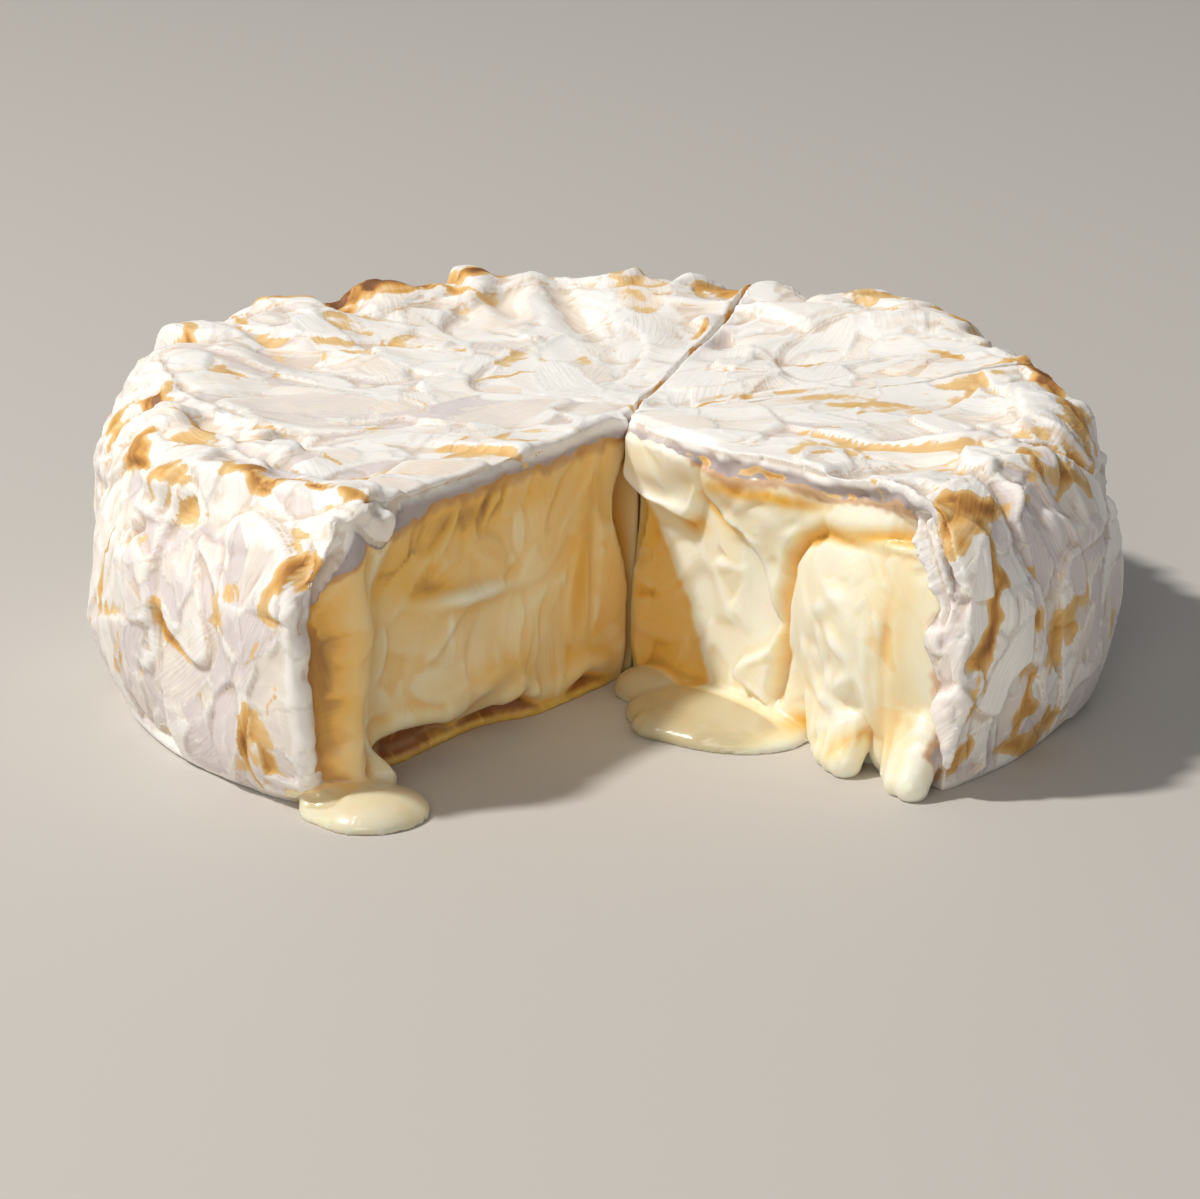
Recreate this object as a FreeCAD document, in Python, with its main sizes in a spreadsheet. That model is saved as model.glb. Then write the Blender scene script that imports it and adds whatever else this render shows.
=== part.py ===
"""Camembert with one wedge taken out, left in three slices that still keep the wheel's shape.

The wheel's axis is Z and it stands on z = 0. All cuts meet under the knife point, close to the axis.
Each slice is bounded by five uneven skins (top, side, two cut faces and the tip) and a flat foot.
The skins are B-spline patches whose poles come from one mapping, so patches that meet share an edge
exactly. Runny paste at the foot of the two open cut faces is added as low half ellipsoids.
"""

import FreeCAD, Part

import math
import os
from types import SimpleNamespace

# Driving dimensions in millimetres and degrees: alias, value, meaning.
DIMENSIONS = [
    ("wheel_radius", 55.0, "radius of the wheel where it bulges most"),
    ("shoulder_inset", 3.8, "how far inside that the side turns into the top"),
    ("foot_inset", 3.2, "how far inside that the flat underside ends"),
    ("wheel_height", 32.2, "height of the rim's crest"),
    ("bulge_height", 14.0, "height at which the side bulges most"),
    ("shoulder_drop", 2.9, "how far the shoulder lies below the crest"),
    ("crest_inset", 5.6, "how far the crest lies inside the shoulder"),
    ("dish_width", 11.0, "width of the slope from the crest to the sunken middle"),
    ("dish_depth", 1.4, "how far the middle lies below the crest"),
    ("side_wave", 0.55, "how far the side's folds stand in and out"),
    ("side_wave_pitch", 17.0, "distance between the side's folds"),
    ("top_wave", 0.65, "how far the top's lumps stand up and down"),
    ("top_wave_pitch", 21.0, "distance between the top's lumps"),
    ("knife_x", 3.1, "knife point, where all cuts meet"),
    ("knife_y", -0.4, "knife point, where all cuts meet"),
    ("right_face_angle", -50.0, "direction of the open cut face on the right"),
    ("side_cut_angle", 15.5, "direction of the cut between the right and the rear slice"),
    ("rear_cut_angle", 73.0, "direction of the cut between the rear and the left slice"),
    ("left_face_angle", 235.5, "direction of the open cut face on the left"),
    ("cut_gap_foot", 0.3, "width of a closed cut at the foot"),
    ("cut_gap_top", 0.7, "width of a closed cut under the rind"),
    ("cut_bevel", 0.8, "further width of a closed cut at the rind's edge"),
    ("tip_gap", 0.9, "distance of a slice's tip from the knife point"),
    ("tip_hollow", 3.2, "distance of the tip from the knife point in the hollow half way up"),
    ("tip_hollow_height", 9.0, "half the height of that hollow"),
    ("relief_start", 6.5, "distance from the knife point at which a face's relief is full"),
    ("rind_thickness", 1.8, "thickness of the rind at the cut faces"),
    ("rind_overhang", 1.0, "how far the rind's edge stands out of the cut faces"),
    ("undercut_depth", 3.2, "how far the left face is hollowed at its foot"),
    ("undercut_height", 3.6, "height of that hollow"),
    ("roll_out", 2.2, "how far the roll above the hollow stands out"),
    ("roll_length", 19.0, "length of that roll"),
    ("roll_height", 7.0, "height of that roll"),
    ("stream_out", 2.2, "how far the stream of paste stands out of the left face"),
    ("stream_width", 7.0, "width of that stream"),
    ("ledge_out", 1.0, "how far the ridge in the middle of the left face stands out"),
    ("drape_out", 1.5, "how far the sagging paste under the right face's rind stands out"),
    ("drape_depth", 7.5, "how far that paste sags below the rind"),
    ("slump_out", 2.2, "how far the paste has slumped out of the corner at the knife point"),
    ("slump_height", 22.0, "height at which that slump starts"),
    ("slump_length", 15.0, "length of the slump along the foot of the right face"),
    ("pillow_out", 3.4, "how far the soft bulge stands out of the right face"),
    ("pillow_length", 26.0, "length of that bulge"),
    ("pillow_height", 24.0, "height of that bulge"),
    ("groove_depth", 1.5, "depth of the groove that arches over the bulge"),
    ("groove_width", 4.6, "width of that groove"),
    ("puddle_height", 2.8, "height of the runny paste on the board"),
    ("left_puddle_length", 12.6, "length of the puddle under the stream"),
    ("left_puddle_width", 11.2, "width of that puddle"),
    ("middle_puddle_length", 23.0, "length of the puddle at the foot of the right face"),
    ("middle_puddle_width", 17.0, "width of that puddle"),
    ("tongue_length", 10.0, "length of the puddle's tongue towards the knife point"),
    ("tongue_width", 8.0, "width of that tongue"),
    ("tongue_clearance", 1.9, "how far that tongue stays from the knife point"),
    ("drip_width", 8.0, "width of a drip at the foot of the bulge"),
    ("drip_out", 4.2, "how far a drip's foot stands out of the right face"),
    ("drip_height", 9.0, "height of a drip"),
    ("drip_hollow_depth", 2.4, "how far the foot is hollowed between and beside the drips"),
    ("drip_hollow_height", 3.0, "height of those hollows"),
]

# How finely the skins follow their shape: stations along, round and up a slice.
STATIONS_OUT = 26
STATIONS_UP = 20
DEGREES_PER_STATION = 3.4
END_CROWDING = 0.75
FADE_DEGREES = 9.0

# Where along the right face its drips are, as shares of the face's length.
DRIP_SHARES = (0.68, 0.86)


def make_sheet(doc):
    """The spreadsheet with one named cell for each driving dimension."""
    sheet = doc.addObject("Spreadsheet::Sheet", "Dimensions")
    for row, (alias, value, meaning) in enumerate(DIMENSIONS, start=1):
        sheet.set("A%d" % row, alias)
        sheet.set("B%d" % row, str(value))
        sheet.set("C%d" % row, meaning)
        sheet.setAlias("B%d" % row, alias)
    doc.recompute()
    return sheet


def uneven(distance, pitch, seed):
    """An uneven wave between -1 and 1: three sines whose pitches don't divide each other."""
    turn = 2.0 * math.pi * distance / pitch
    long_wave = math.sin(turn + seed)
    short_wave = 0.6 * math.sin(1.7 * turn + 2.3 * seed)
    fine_wave = 0.4 * math.sin(2.9 * turn + 4.1 * seed)
    return (long_wave + short_wave + fine_wave) / 2.0


def smooth_step(share):
    """0 at or below 0, 1 at or above 1, with a smooth rise between."""
    share = min(1.0, max(0.0, share))
    return share * share * (3.0 - 2.0 * share)


def mound(along, up, centre, length, height):
    """1 at its centre and 0 outside an ellipse of that length and height."""
    far = math.hypot((along - centre[0]) * 2.0 / length, (up - centre[1]) * 2.0 / height)
    return 0.5 + 0.5 * math.cos(math.pi * min(1.0, far))


def ridge(distance, width):
    """1 on a line and 0 at half the width to either side of it."""
    return 0.5 + 0.5 * math.cos(math.pi * min(1.0, abs(distance) * 2.0 / width))


def stations(count):
    """Shares from 0 to 1, closer together near both ends."""
    shares = []
    for index in range(count + 1):
        even = index / count
        crowded = 0.5 - 0.5 * math.cos(math.pi * even)
        shares.append(END_CROWDING * crowded + (1.0 - END_CROWDING) * even)
    return shares


def heading(degrees):
    """The level unit vector in a direction."""
    turn = math.radians(degrees)
    return FreeCAD.Vector(math.cos(turn), math.sin(turn), 0.0)


# --- The wheel's skin ---------------------------------------------------------------------------


def side_radius(size, bearing, up):
    """Radius of the side at a bearing (degrees) and a height: a barrel with uneven upright folds."""
    if up < size.bulge_height:
        low = 1.0 - up / size.bulge_height
        plain = size.wheel_radius - size.foot_inset * low**3
    else:
        high = (up - size.bulge_height) / (size.wheel_height - size.shoulder_drop - size.bulge_height)
        plain = size.wheel_radius - size.shoulder_inset * min(1.0, high) ** 4
    around = math.radians(bearing) * size.wheel_radius
    lean = 0.35 * up
    folds = uneven(around + lean, size.side_wave_pitch, 1.3)
    folds += 0.4 * uneven(around - 2.0 * lean, 0.55 * size.side_wave_pitch, 4.0)
    fade = smooth_step(up / size.bulge_height + 0.25)
    return plain - size.side_wave + size.side_wave * folds * fade


def top_height(size, bearing, radius):
    """Height of the top at a bearing and a radius: a rounded shoulder, a crest and a sunken middle."""
    shoulder_radius = size.wheel_radius - size.shoulder_inset
    inset = shoulder_radius - radius
    around = math.radians(bearing) * size.wheel_radius
    if inset < size.crest_inset:
        plain = -size.shoulder_drop * (1.0 - inset / size.crest_inset) ** 2
    else:
        plain = -size.dish_depth * smooth_step((inset - size.crest_inset) / size.dish_width)
    x = radius * math.cos(math.radians(bearing))
    y = radius * math.sin(math.radians(bearing))
    lumps = 0.6 * uneven(x + 0.5 * y, size.top_wave_pitch, 2.1)
    lumps += 0.6 * uneven(y - 0.6 * x, 0.8 * size.top_wave_pitch, 0.4)
    crest = uneven(around, size.top_wave_pitch, 3.0) * smooth_step(radius / shoulder_radius)
    return size.wheel_height - size.top_wave + plain + size.top_wave * (0.5 * lumps + 0.6 * crest)


# --- The relief of the open cut faces -----------------------------------------------------------
# Each relief gives how far the face stands out at a distance from the knife point and a height.


def rind_edge(size, along, up, length):
    """The rind's edge along the top and down the outer end of a cut face."""
    below_top = size.wheel_height - up
    from_side = length - along
    top_edge = 1.0 - smooth_step(below_top / size.rind_thickness - 0.7)
    side_edge = 1.0 - smooth_step(from_side / size.rind_thickness - 0.7)
    ragged = 0.75 + 0.25 * uneven(along + 1.4 * up, 6.0, 0.7)
    return size.rind_overhang * ragged * max(top_edge, side_edge)


def left_relief(size, along, up, length):
    """The left face: a stream near its outer end, a ledge, a roll and a hollow along its foot."""
    share = along / length
    stream_line = along - 0.895 * length - 0.6 * math.sin(up / 4.0)
    stream = size.stream_out * ridge(stream_line, size.stream_width)
    stream *= smooth_step((size.wheel_height - up) / 4.0)
    roll_centre = (0.50 * length, 0.22 * size.wheel_height)
    roll = size.roll_out * mound(along, up, roll_centre, size.roll_length, size.roll_height)
    ledge_centre = (0.56 * length, 0.55 * size.wheel_height)
    ledge = size.ledge_out * mound(along, up, ledge_centre, 0.45 * length, 0.2 * size.wheel_height)
    low_edge = size.undercut_height * (1.0 + 0.25 * uneven(along, 13.0, 0.2))
    hollow = smooth_step((low_edge - up) / 1.6 + 0.5)
    hollow *= smooth_step((share - 0.30) / 0.10) * smooth_step((0.86 - share) / 0.08)
    soft = 0.35 * uneven(along + 0.3 * up, 15.0, 5.0)
    relief = stream + roll + ledge + soft - size.undercut_depth * hollow
    return (relief + rind_edge(size, along, up, length)) * smooth_step(along / size.relief_start)


def right_relief(size, along, up, length):
    """The right face: sagging paste under the rind, a slump at the tip, a bulge and its groove."""
    sag = size.drape_depth * (0.55 + 0.45 * abs(math.sin(math.pi * along / 11.5)))
    below_rind = size.wheel_height - size.rind_thickness - up
    drape = size.drape_out * smooth_step((sag - below_rind) / 2.0)
    drape *= smooth_step((0.44 * length - along) / 4.0)
    slump_edge = size.slump_length * (1.0 - up / size.slump_height)
    slump = size.slump_out * smooth_step((slump_edge - along) / size.slump_length)
    pillow_centre = (0.73 * length, 0.42 * size.wheel_height)
    rise = mound(along, up, pillow_centre, size.pillow_length, size.pillow_height)
    pillow = size.pillow_out * math.sqrt(rise)
    reach_along = (along - pillow_centre[0]) * 2.0 / (size.pillow_length + size.groove_width)
    reach_up = (up - pillow_centre[1]) * 2.0 / (size.pillow_height + size.groove_width)
    off_arch = (math.hypot(reach_along, reach_up) - 1.0) * 0.5 * size.pillow_length
    groove = size.groove_depth * ridge(off_arch, size.groove_width)
    groove *= smooth_step((up - 0.2 * size.wheel_height) / 5.0)
    soft = 0.3 * uneven(along + 0.5 * up, 12.0, 2.0)
    relief = drape + slump + pillow - groove + soft + drip_relief(size, along, up, length)
    return (relief + rind_edge(size, along, up, length)) * smooth_step(along / size.relief_start)


def drip_relief(size, along, up, length):
    """Two drips that run from the bulge to the board, and the hollows between and beside them."""
    drip = 0.0
    for share in DRIP_SHARES:
        drip = max(drip, ridge(along - share * length, size.drip_width))
    run = size.drip_out * drip * smooth_step(1.0 - up / size.drip_height)
    hollow = size.drip_hollow_depth * (1.0 - drip) * smooth_step((size.drip_hollow_height - up) / 1.5 + 0.5)
    hollow *= smooth_step((along / length - 0.53) / 0.06) * smooth_step((0.95 - along / length) / 0.05)
    return run - hollow


def closed_relief(size, along, up, length):
    """A closed cut: half the gap, which widens upwards and is bevelled at the rind's edge."""
    upward = up / size.wheel_height
    gap = size.cut_gap_foot + (size.cut_gap_top - size.cut_gap_foot) * upward
    bevel = smooth_step((up - size.wheel_height + 2.2 * size.rind_thickness) / (2.2 * size.rind_thickness))
    outward = 0.5 + 0.9 * smooth_step(along / length - 0.3)
    return -0.5 * (gap + size.cut_bevel * bevel * outward)


# --- A slice ------------------------------------------------------------------------------------


class SliceForm:
    """Maps shares out from the tip, round from the first cut to the last, and up, to points."""

    def __init__(self, size, first_angle, last_angle, first_relief, last_relief):
        self.size = size
        self.first_angle = first_angle
        self.last_angle = last_angle
        self.first_relief = first_relief
        self.last_relief = last_relief
        self.knife = FreeCAD.Vector(size.knife_x, size.knife_y, 0.0)

    def bearing(self, point, near):
        """The point's bearing about the wheel's axis, unwrapped to lie near an angle."""
        turn = math.degrees(math.atan2(point.y, point.x)) - near
        return near + (turn + 180.0) % 360.0 - 180.0

    def side_distance(self, angle, up):
        """Distance from the knife point to the wheel's side in a direction."""
        ahead = heading(angle)
        along_knife = self.knife.dot(ahead)
        radius = self.size.wheel_radius
        for _ in range(4):
            distance = math.sqrt(along_knife**2 - self.knife.dot(self.knife) + radius**2) - along_knife
            bearing = self.bearing(self.knife + ahead * distance, angle)
            radius = side_radius(self.size, bearing, up)
        return distance

    def tip_distance(self, up):
        """Distance from the knife point to the slice's tip."""
        centre = 0.60 * self.size.wheel_height
        hollow = ridge(up - centre, 2.0 * self.size.tip_hollow_height)
        return self.size.tip_gap + (self.size.tip_hollow - self.size.tip_gap) * hollow

    def point(self, out, turn, up_share):
        """The skin's pole at these shares."""
        size = self.size
        angle = self.first_angle + turn * (self.last_angle - self.first_angle)
        ahead = heading(angle)
        up = up_share * (size.wheel_height - size.shoulder_drop)
        for _ in range(3):
            near = self.tip_distance(up)
            along = near + out * (self.side_distance(angle, up) - near)
            place = self.knife + ahead * along
            radius = math.hypot(place.x, place.y)
            up = up_share * top_height(size, self.bearing(place, angle), radius)
        length = self.side_distance(angle, size.bulge_height)
        from_first = turn * (self.last_angle - self.first_angle)
        from_last = (1.0 - turn) * (self.last_angle - self.first_angle)
        across = heading(angle + 90.0)
        place -= across * self.first_relief(size, along, up, length) * self.fade(from_first)
        place += across * self.last_relief(size, along, up, length) * self.fade(from_last)
        return FreeCAD.Vector(place.x, place.y, up)

    def fade(self, degrees):
        """How much of a cut face's relief the skins beside it still follow."""
        return (1.0 - smooth_step(degrees / FADE_DEGREES)) ** 2

    def shape(self):
        """The closed solid."""
        outs = stations(STATIONS_OUT)
        ups = stations(STATIONS_UP)
        turns = stations(round((self.last_angle - self.first_angle) / DEGREES_PER_STATION) + 4)
        top = patch([[self.point(out, turn, 1.0) for out in outs] for turn in turns])
        side = patch([[self.point(1.0, turn, up) for up in ups] for turn in turns])
        tip = patch([[self.point(0.0, turn, up) for up in ups] for turn in turns])
        first = patch([[self.point(out, 0.0, up) for up in ups] for out in outs])
        last = patch([[self.point(out, 1.0, up) for up in ups] for out in outs])
        rim = [
            edge([self.point(out, 0.0, 0.0) for out in outs]),
            edge([self.point(1.0, turn, 0.0) for turn in turns]),
            edge([self.point(out, 1.0, 0.0) for out in reversed(outs)]),
            edge([self.point(0.0, turn, 0.0) for turn in reversed(turns)]),
        ]
        foot = Part.Face(Part.Wire(rim))
        shell = Part.Shell([top, side, tip, first, last, foot])
        solid = Part.Solid(shell)
        if solid.Volume < 0.0:
            solid.reverse()
        return solid


def knots_for(count):
    """Knots and multiplicities of a clamped cubic spline with that many poles."""
    spans = count - 3
    knots = [index / spans for index in range(spans + 1)]
    multiplicities = [4] + [1] * (spans - 1) + [4]
    return knots, multiplicities


def patch(rows):
    """A cubic B-spline face with those rows of poles."""
    u_knots, u_mults = knots_for(len(rows))
    v_knots, v_mults = knots_for(len(rows[0]))
    surface = Part.BSplineSurface()
    surface.buildFromPolesMultsKnots(rows, u_mults, v_mults, u_knots, v_knots, False, False, 3, 3)
    return surface.toShape()


def edge(poles):
    """The cubic B-spline edge with those poles."""
    knots, mults = knots_for(len(poles))
    curve = Part.BSplineCurve()
    curve.buildFromPolesMultsKnots(poles, mults, knots, False, 3)
    return curve.toShape()


def add_form(doc, name, form):
    """A slice's own body, before puddles are added."""
    body = doc.addObject("Part::Feature", name)
    body.Shape = form.shape()
    body.Placement = FreeCAD.Placement()
    return body


# --- Runny paste --------------------------------------------------------------------------------


def add_puddle(doc, name, face_angle, along, out, length, width, height):
    """A half ellipsoid on the board, lying along a cut face.

    Its centre is so far along the face from the knife point and so far out of the face. Each of
    these is an expression over the sheet's cells.
    """
    puddle = doc.addObject("Part::Ellipsoid", name)
    puddle.Angle1 = 0
    puddle.Angle2 = 90
    puddle.setExpression("Radius1", "(%s)" % height)
    puddle.setExpression("Radius2", "(%s) / 2" % length)
    puddle.setExpression("Radius3", "(%s) / 2" % width)
    turn = "(%s) * 1 deg" % face_angle
    ahead = "(%s) * cos(%s)" % (along, turn)
    across = "(%s) * sin(%s)" % (out, turn)
    puddle.setExpression("Placement.Base.x", "Dimensions.knife_x + %s - %s" % (ahead, across))
    ahead = "(%s) * sin(%s)" % (along, turn)
    across = "(%s) * cos(%s)" % (out, turn)
    puddle.setExpression("Placement.Base.y", "Dimensions.knife_y + %s + %s" % (ahead, across))
    puddle.setExpression("Placement.Rotation.Angle", turn)
    return puddle


def add_slice(doc, label, body, puddles):
    """The finished slice: its body joined with its puddles."""
    joined = doc.addObject("Part::MultiFuse", label)
    joined.Label = label
    joined.Shapes = [body] + puddles
    joined.Placement = FreeCAD.Placement()
    return joined


def check(doc):
    """Stops if any object failed, or any solid is empty or not valid."""
    for item in doc.Objects:
        if "Invalid" in item.State or "Error" in item.State:
            raise RuntimeError("%s failed: %s" % (item.Name, item.State))
        if hasattr(item, "Shape") and (item.Shape.isNull() or not item.Shape.isValid()):
            raise RuntimeError("%s has no valid shape" % item.Name)


def main():
    doc = FreeCAD.newDocument("Camembert")
    sheet = make_sheet(doc)
    size = SimpleNamespace(**{alias: float(sheet.get(alias)) for alias, _, _ in DIMENSIONS})

    left_form = SliceForm(size, size.rear_cut_angle, size.left_face_angle, closed_relief, left_relief)
    rear_form = SliceForm(size, size.side_cut_angle, size.rear_cut_angle, closed_relief, closed_relief)
    right_form = SliceForm(size, size.right_face_angle, size.side_cut_angle, right_relief, closed_relief)

    left_puddle = add_puddle(
        doc,
        "LeftPuddle",
        "Dimensions.left_face_angle",
        "0.93 * Dimensions.wheel_radius",
        "0.34 * Dimensions.left_puddle_width",
        "Dimensions.left_puddle_length",
        "Dimensions.left_puddle_width",
        "Dimensions.puddle_height",
    )
    middle_puddle = add_puddle(
        doc,
        "MiddlePuddle",
        "Dimensions.right_face_angle",
        "0.33 * Dimensions.wheel_radius",
        "-0.18 * Dimensions.middle_puddle_width",
        "Dimensions.middle_puddle_length",
        "Dimensions.middle_puddle_width",
        "Dimensions.puddle_height",
    )
    tongue = add_puddle(
        doc,
        "Tongue",
        "Dimensions.right_face_angle",
        "Dimensions.tongue_length / 2 + Dimensions.tongue_clearance",
        "-0.28 * Dimensions.tongue_width",
        "Dimensions.tongue_length",
        "Dimensions.tongue_width",
        "1.1 * Dimensions.puddle_height",
    )
    left_slice = add_slice(doc, "slice_left", add_form(doc, "LeftBody", left_form), [left_puddle])
    right_body = add_form(doc, "RightBody", right_form)
    right_slice = add_slice(doc, "slice_right", right_body, [middle_puddle, tongue])
    rear_slice = add_form(doc, "slice_rear", rear_form)
    rear_slice.Label = "slice_rear"
    doc.recompute()
    check(doc)

    os.makedirs("parts", exist_ok=True)
    for piece in (left_slice, rear_slice, right_slice):
        box = piece.Shape.BoundBox
        print("%-12s %7.0f mm3, lowest %.3f mm, highest %.2f mm" % (piece.Label, piece.Shape.Volume, box.ZMin, box.ZMax))
        piece.Shape.exportStep("parts/%s.step" % piece.Label)


main()
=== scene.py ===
# %% [markdown]
# # A ripe camembert, cut and running
#
# The cheese is a low wheel with a white bloomy rind. Two cuts go right through it and one wedge has
# been taken out, so three slices still keep the wheel's shape. Warm paste runs out of the open faces.
#
# The packed solids already hold the size and the main forms. This file gives each slice its skin:
# the crumpled rind with its worn ochre patches, the ragged rind edge along the cuts, and the soft,
# shiny paste. All lengths below are in millimetres, and they become metres when a mesh is written.

import math

import bmesh
import bpy
import numpy as np
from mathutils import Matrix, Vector
from mathutils.bvhtree import BVHTree
from mathutils.kdtree import KDTree


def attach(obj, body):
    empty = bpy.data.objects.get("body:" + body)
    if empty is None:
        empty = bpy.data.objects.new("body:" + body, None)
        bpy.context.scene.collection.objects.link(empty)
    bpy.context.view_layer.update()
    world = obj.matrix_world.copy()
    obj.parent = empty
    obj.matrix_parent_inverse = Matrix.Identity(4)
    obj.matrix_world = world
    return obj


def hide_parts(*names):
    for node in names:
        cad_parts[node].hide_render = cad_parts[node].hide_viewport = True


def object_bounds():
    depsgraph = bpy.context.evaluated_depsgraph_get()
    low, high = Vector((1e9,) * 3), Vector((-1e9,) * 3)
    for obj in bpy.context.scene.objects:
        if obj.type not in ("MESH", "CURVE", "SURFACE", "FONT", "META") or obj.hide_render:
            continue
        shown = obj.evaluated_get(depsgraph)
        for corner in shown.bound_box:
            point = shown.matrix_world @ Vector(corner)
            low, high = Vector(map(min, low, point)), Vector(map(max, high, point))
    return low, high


MM = 0.001
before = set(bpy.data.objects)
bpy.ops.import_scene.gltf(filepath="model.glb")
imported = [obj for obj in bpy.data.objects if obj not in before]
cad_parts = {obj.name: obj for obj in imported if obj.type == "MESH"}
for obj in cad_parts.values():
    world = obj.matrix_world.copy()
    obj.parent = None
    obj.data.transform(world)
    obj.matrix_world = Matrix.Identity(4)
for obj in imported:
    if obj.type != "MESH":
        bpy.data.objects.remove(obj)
cad_box = [list(corner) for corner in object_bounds()]
scene = bpy.context.scene
print("slices:", sorted(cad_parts))

# %% [markdown]
# ## The main measures
#
# Everything is placed from the solids' own boxes: the wheel's radius and height, and the surface it
# stands on. The cuts all meet under one point, where the knife's tip stood, a little right of the
# middle. Directions are in degrees, counted anticlockwise from the right.

# %% Measures
LOW = np.array(cad_box[0]) / MM
HIGH = np.array(cad_box[1]) / MM
RADIUS = (HIGH[0] - LOW[0]) / 2.0
HEIGHT = HIGH[2]
KNIFE = np.array([0.057 * RADIUS, -0.007 * RADIUS, 0.0])
LEFT_FACE = 235.5
RIGHT_FACE = -50.0
SIDE_CUT = 15.5
REAR_CUT = 73.0
print("radius %.1f mm, height %.1f mm" % (RADIUS, HEIGHT))


def heading(degrees):
    """The level unit vector in a direction."""
    turn = math.radians(degrees)
    return np.array([math.cos(turn), math.sin(turn), 0.0])


# %% [markdown]
# ## Camera
#
# A camera close by would stretch the near puddles and hide the top. A long lens from about half a
# metre, tilted down by 18 degrees, keeps the wheel wide and low, and its far rim stays in sight over
# the sunken top.

# %% Camera
CAMERA_DISTANCE = 554.3
CAMERA_HEIGHT = 186.7
CAMERA_TILT_DOWN = 17.83
CAMERA_LENS = 162.2


def make_camera():
    """The camera stands straight in front and looks down a little."""
    data = bpy.data.cameras.new("camera")
    data.lens = CAMERA_LENS
    data.sensor_width = 36.0
    camera = bpy.data.objects.new("camera", data)
    camera.location = (0.0, -CAMERA_DISTANCE * MM, CAMERA_HEIGHT * MM)
    camera.rotation_euler = (math.radians(90.0 - CAMERA_TILT_DOWN), 0.0, 0.0)
    scene.collection.objects.link(camera)
    scene.camera = camera
    return camera


camera = make_camera()
print("camera with a %.0f mm lens" % camera.data.lens)

# %% [markdown]
# ## Light
#
# White rind needs a light that rakes over it, or its creases vanish. A sun lamp would cut hard edges
# into the soft paste, so a disk lamp stands high on the left and slightly in front. It lights the rind
# on the left and the open face on the right, and leaves the left slice's open face in shade. It isn't
# in line with the closed side cut, where it would shine through the gap. A broad weak lamp in front
# and a cool surround keep the shaded sides readable.

# %% Lights
KEY_DIRECTION = -172.0
KEY_ELEVATION = 55.0
KEY_SIZE = 100.0
KEY_WATTS = 10.1
FILL_DIRECTION = -100.0
FILL_ELEVATION = 20.0
FILL_SIZE = 450.0
FILL_WATTS = 2.4
LAMP_DISTANCE = 1100.0
KEY_TINT = (1.0, 0.965, 0.92)
FILL_TINT = (1.0, 0.93, 0.82)
SURROUND_TINT = (0.93, 0.93, 0.97)
SURROUND_STRENGTH = 0.23


def make_lamp(name, direction, elevation, size, watts, tint):
    """A disk lamp at one distance from the wheel, turned to face it."""
    data = bpy.data.lights.new(name, "AREA")
    data.shape = "DISK"
    data.size = size * MM
    data.energy = watts
    data.color = tint
    lamp = bpy.data.objects.new(name, data)
    level = heading(direction) * math.cos(math.radians(elevation))
    away = Vector(level) + Vector((0.0, 0.0, math.sin(math.radians(elevation))))
    lamp.location = away * LAMP_DISTANCE * MM
    lamp.rotation_euler = away.to_track_quat("Z", "Y").to_euler()
    scene.collection.objects.link(lamp)
    return lamp


def make_surround():
    """An even, slightly cool light from all round."""
    world = bpy.data.worlds.new("surround")
    world.use_nodes = True
    background = world.node_tree.nodes["Background"]
    background.inputs["Color"].default_value = SURROUND_TINT + (1.0,)
    background.inputs["Strength"].default_value = SURROUND_STRENGTH
    scene.world = world


make_lamp("key", KEY_DIRECTION, KEY_ELEVATION, KEY_SIZE, KEY_WATTS, KEY_TINT)
make_lamp("fill", FILL_DIRECTION, FILL_ELEVATION, FILL_SIZE, FILL_WATTS, FILL_TINT)
make_surround()
scene.view_settings.view_transform = "Standard"
print("key lamp at %.0f degrees, %.0f degrees high" % (KEY_DIRECTION, KEY_ELEVATION))

# %% [markdown]
# ## Shader maths as plain expressions
#
# A procedural finish is mostly sums, and a sum in nodes soon fills the screen. This class wraps one
# socket of a shader tree, so that `1 - mask * 0.5` adds its own Math nodes and the finish reads like a
# formula. Colours are laid over each other with Mix nodes, and every node comes from one method.

# %% Shader helper


class Wire:
    """One socket in a material's tree, with arithmetic."""

    def __init__(self, tree, socket=None):
        self.tree = tree
        self.socket = socket

    def node(self, kind, settings=None, inputs=None, output=0):
        """A new node of that kind, with its settings made first and then its sockets."""
        made = self.tree.nodes.new(kind)
        for name, value in (settings or {}).items():
            if name == "stops":
                set_stops(made.color_ramp, value)
            else:
                setattr(made, name, value)
        for name, value in (inputs or {}).items():
            target = made.inputs[name]
            if isinstance(value, Wire):
                self.tree.links.new(value.socket, target)
            else:
                target.default_value = value
        return Wire(self.tree, made.outputs[output]) if made.outputs else None

    def maths(self, operation, *values):
        """A Math node on plain values."""
        return self.node("ShaderNodeMath", {"operation": operation}, dict(enumerate(values)))

    def __add__(self, other):
        return self.maths("ADD", self, other)

    def __radd__(self, other):
        return self.maths("ADD", other, self)

    def __sub__(self, other):
        return self.maths("SUBTRACT", self, other)

    def __rsub__(self, other):
        return self.maths("SUBTRACT", other, self)

    def __mul__(self, other):
        return self.maths("MULTIPLY", self, other)

    def __rmul__(self, other):
        return self.maths("MULTIPLY", other, self)

    def step(self, low, high):
        """0 up to low, 1 from high on, smooth between. High may be the smaller."""
        settings = {"interpolation_type": "SMOOTHSTEP", "clamp": True}
        inputs = {"Value": self, "From Min": low, "From Max": high}
        return self.node("ShaderNodeMapRange", settings, inputs)

    def over(self, mask, layer):
        """This colour with another laid over it where the mask is 1."""
        return self.node("ShaderNodeMix", {"data_type": "RGBA"}, {0: mask, 6: self, 7: layer}, output=2)

    def ramp(self, stops):
        """This value turned into a colour between the stops."""
        return self.node("ShaderNodeValToRGB", {"stops": stops}, {"Fac": self})


print("a wire can:", [name for name in vars(Wire) if not name.startswith("__")])

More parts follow.
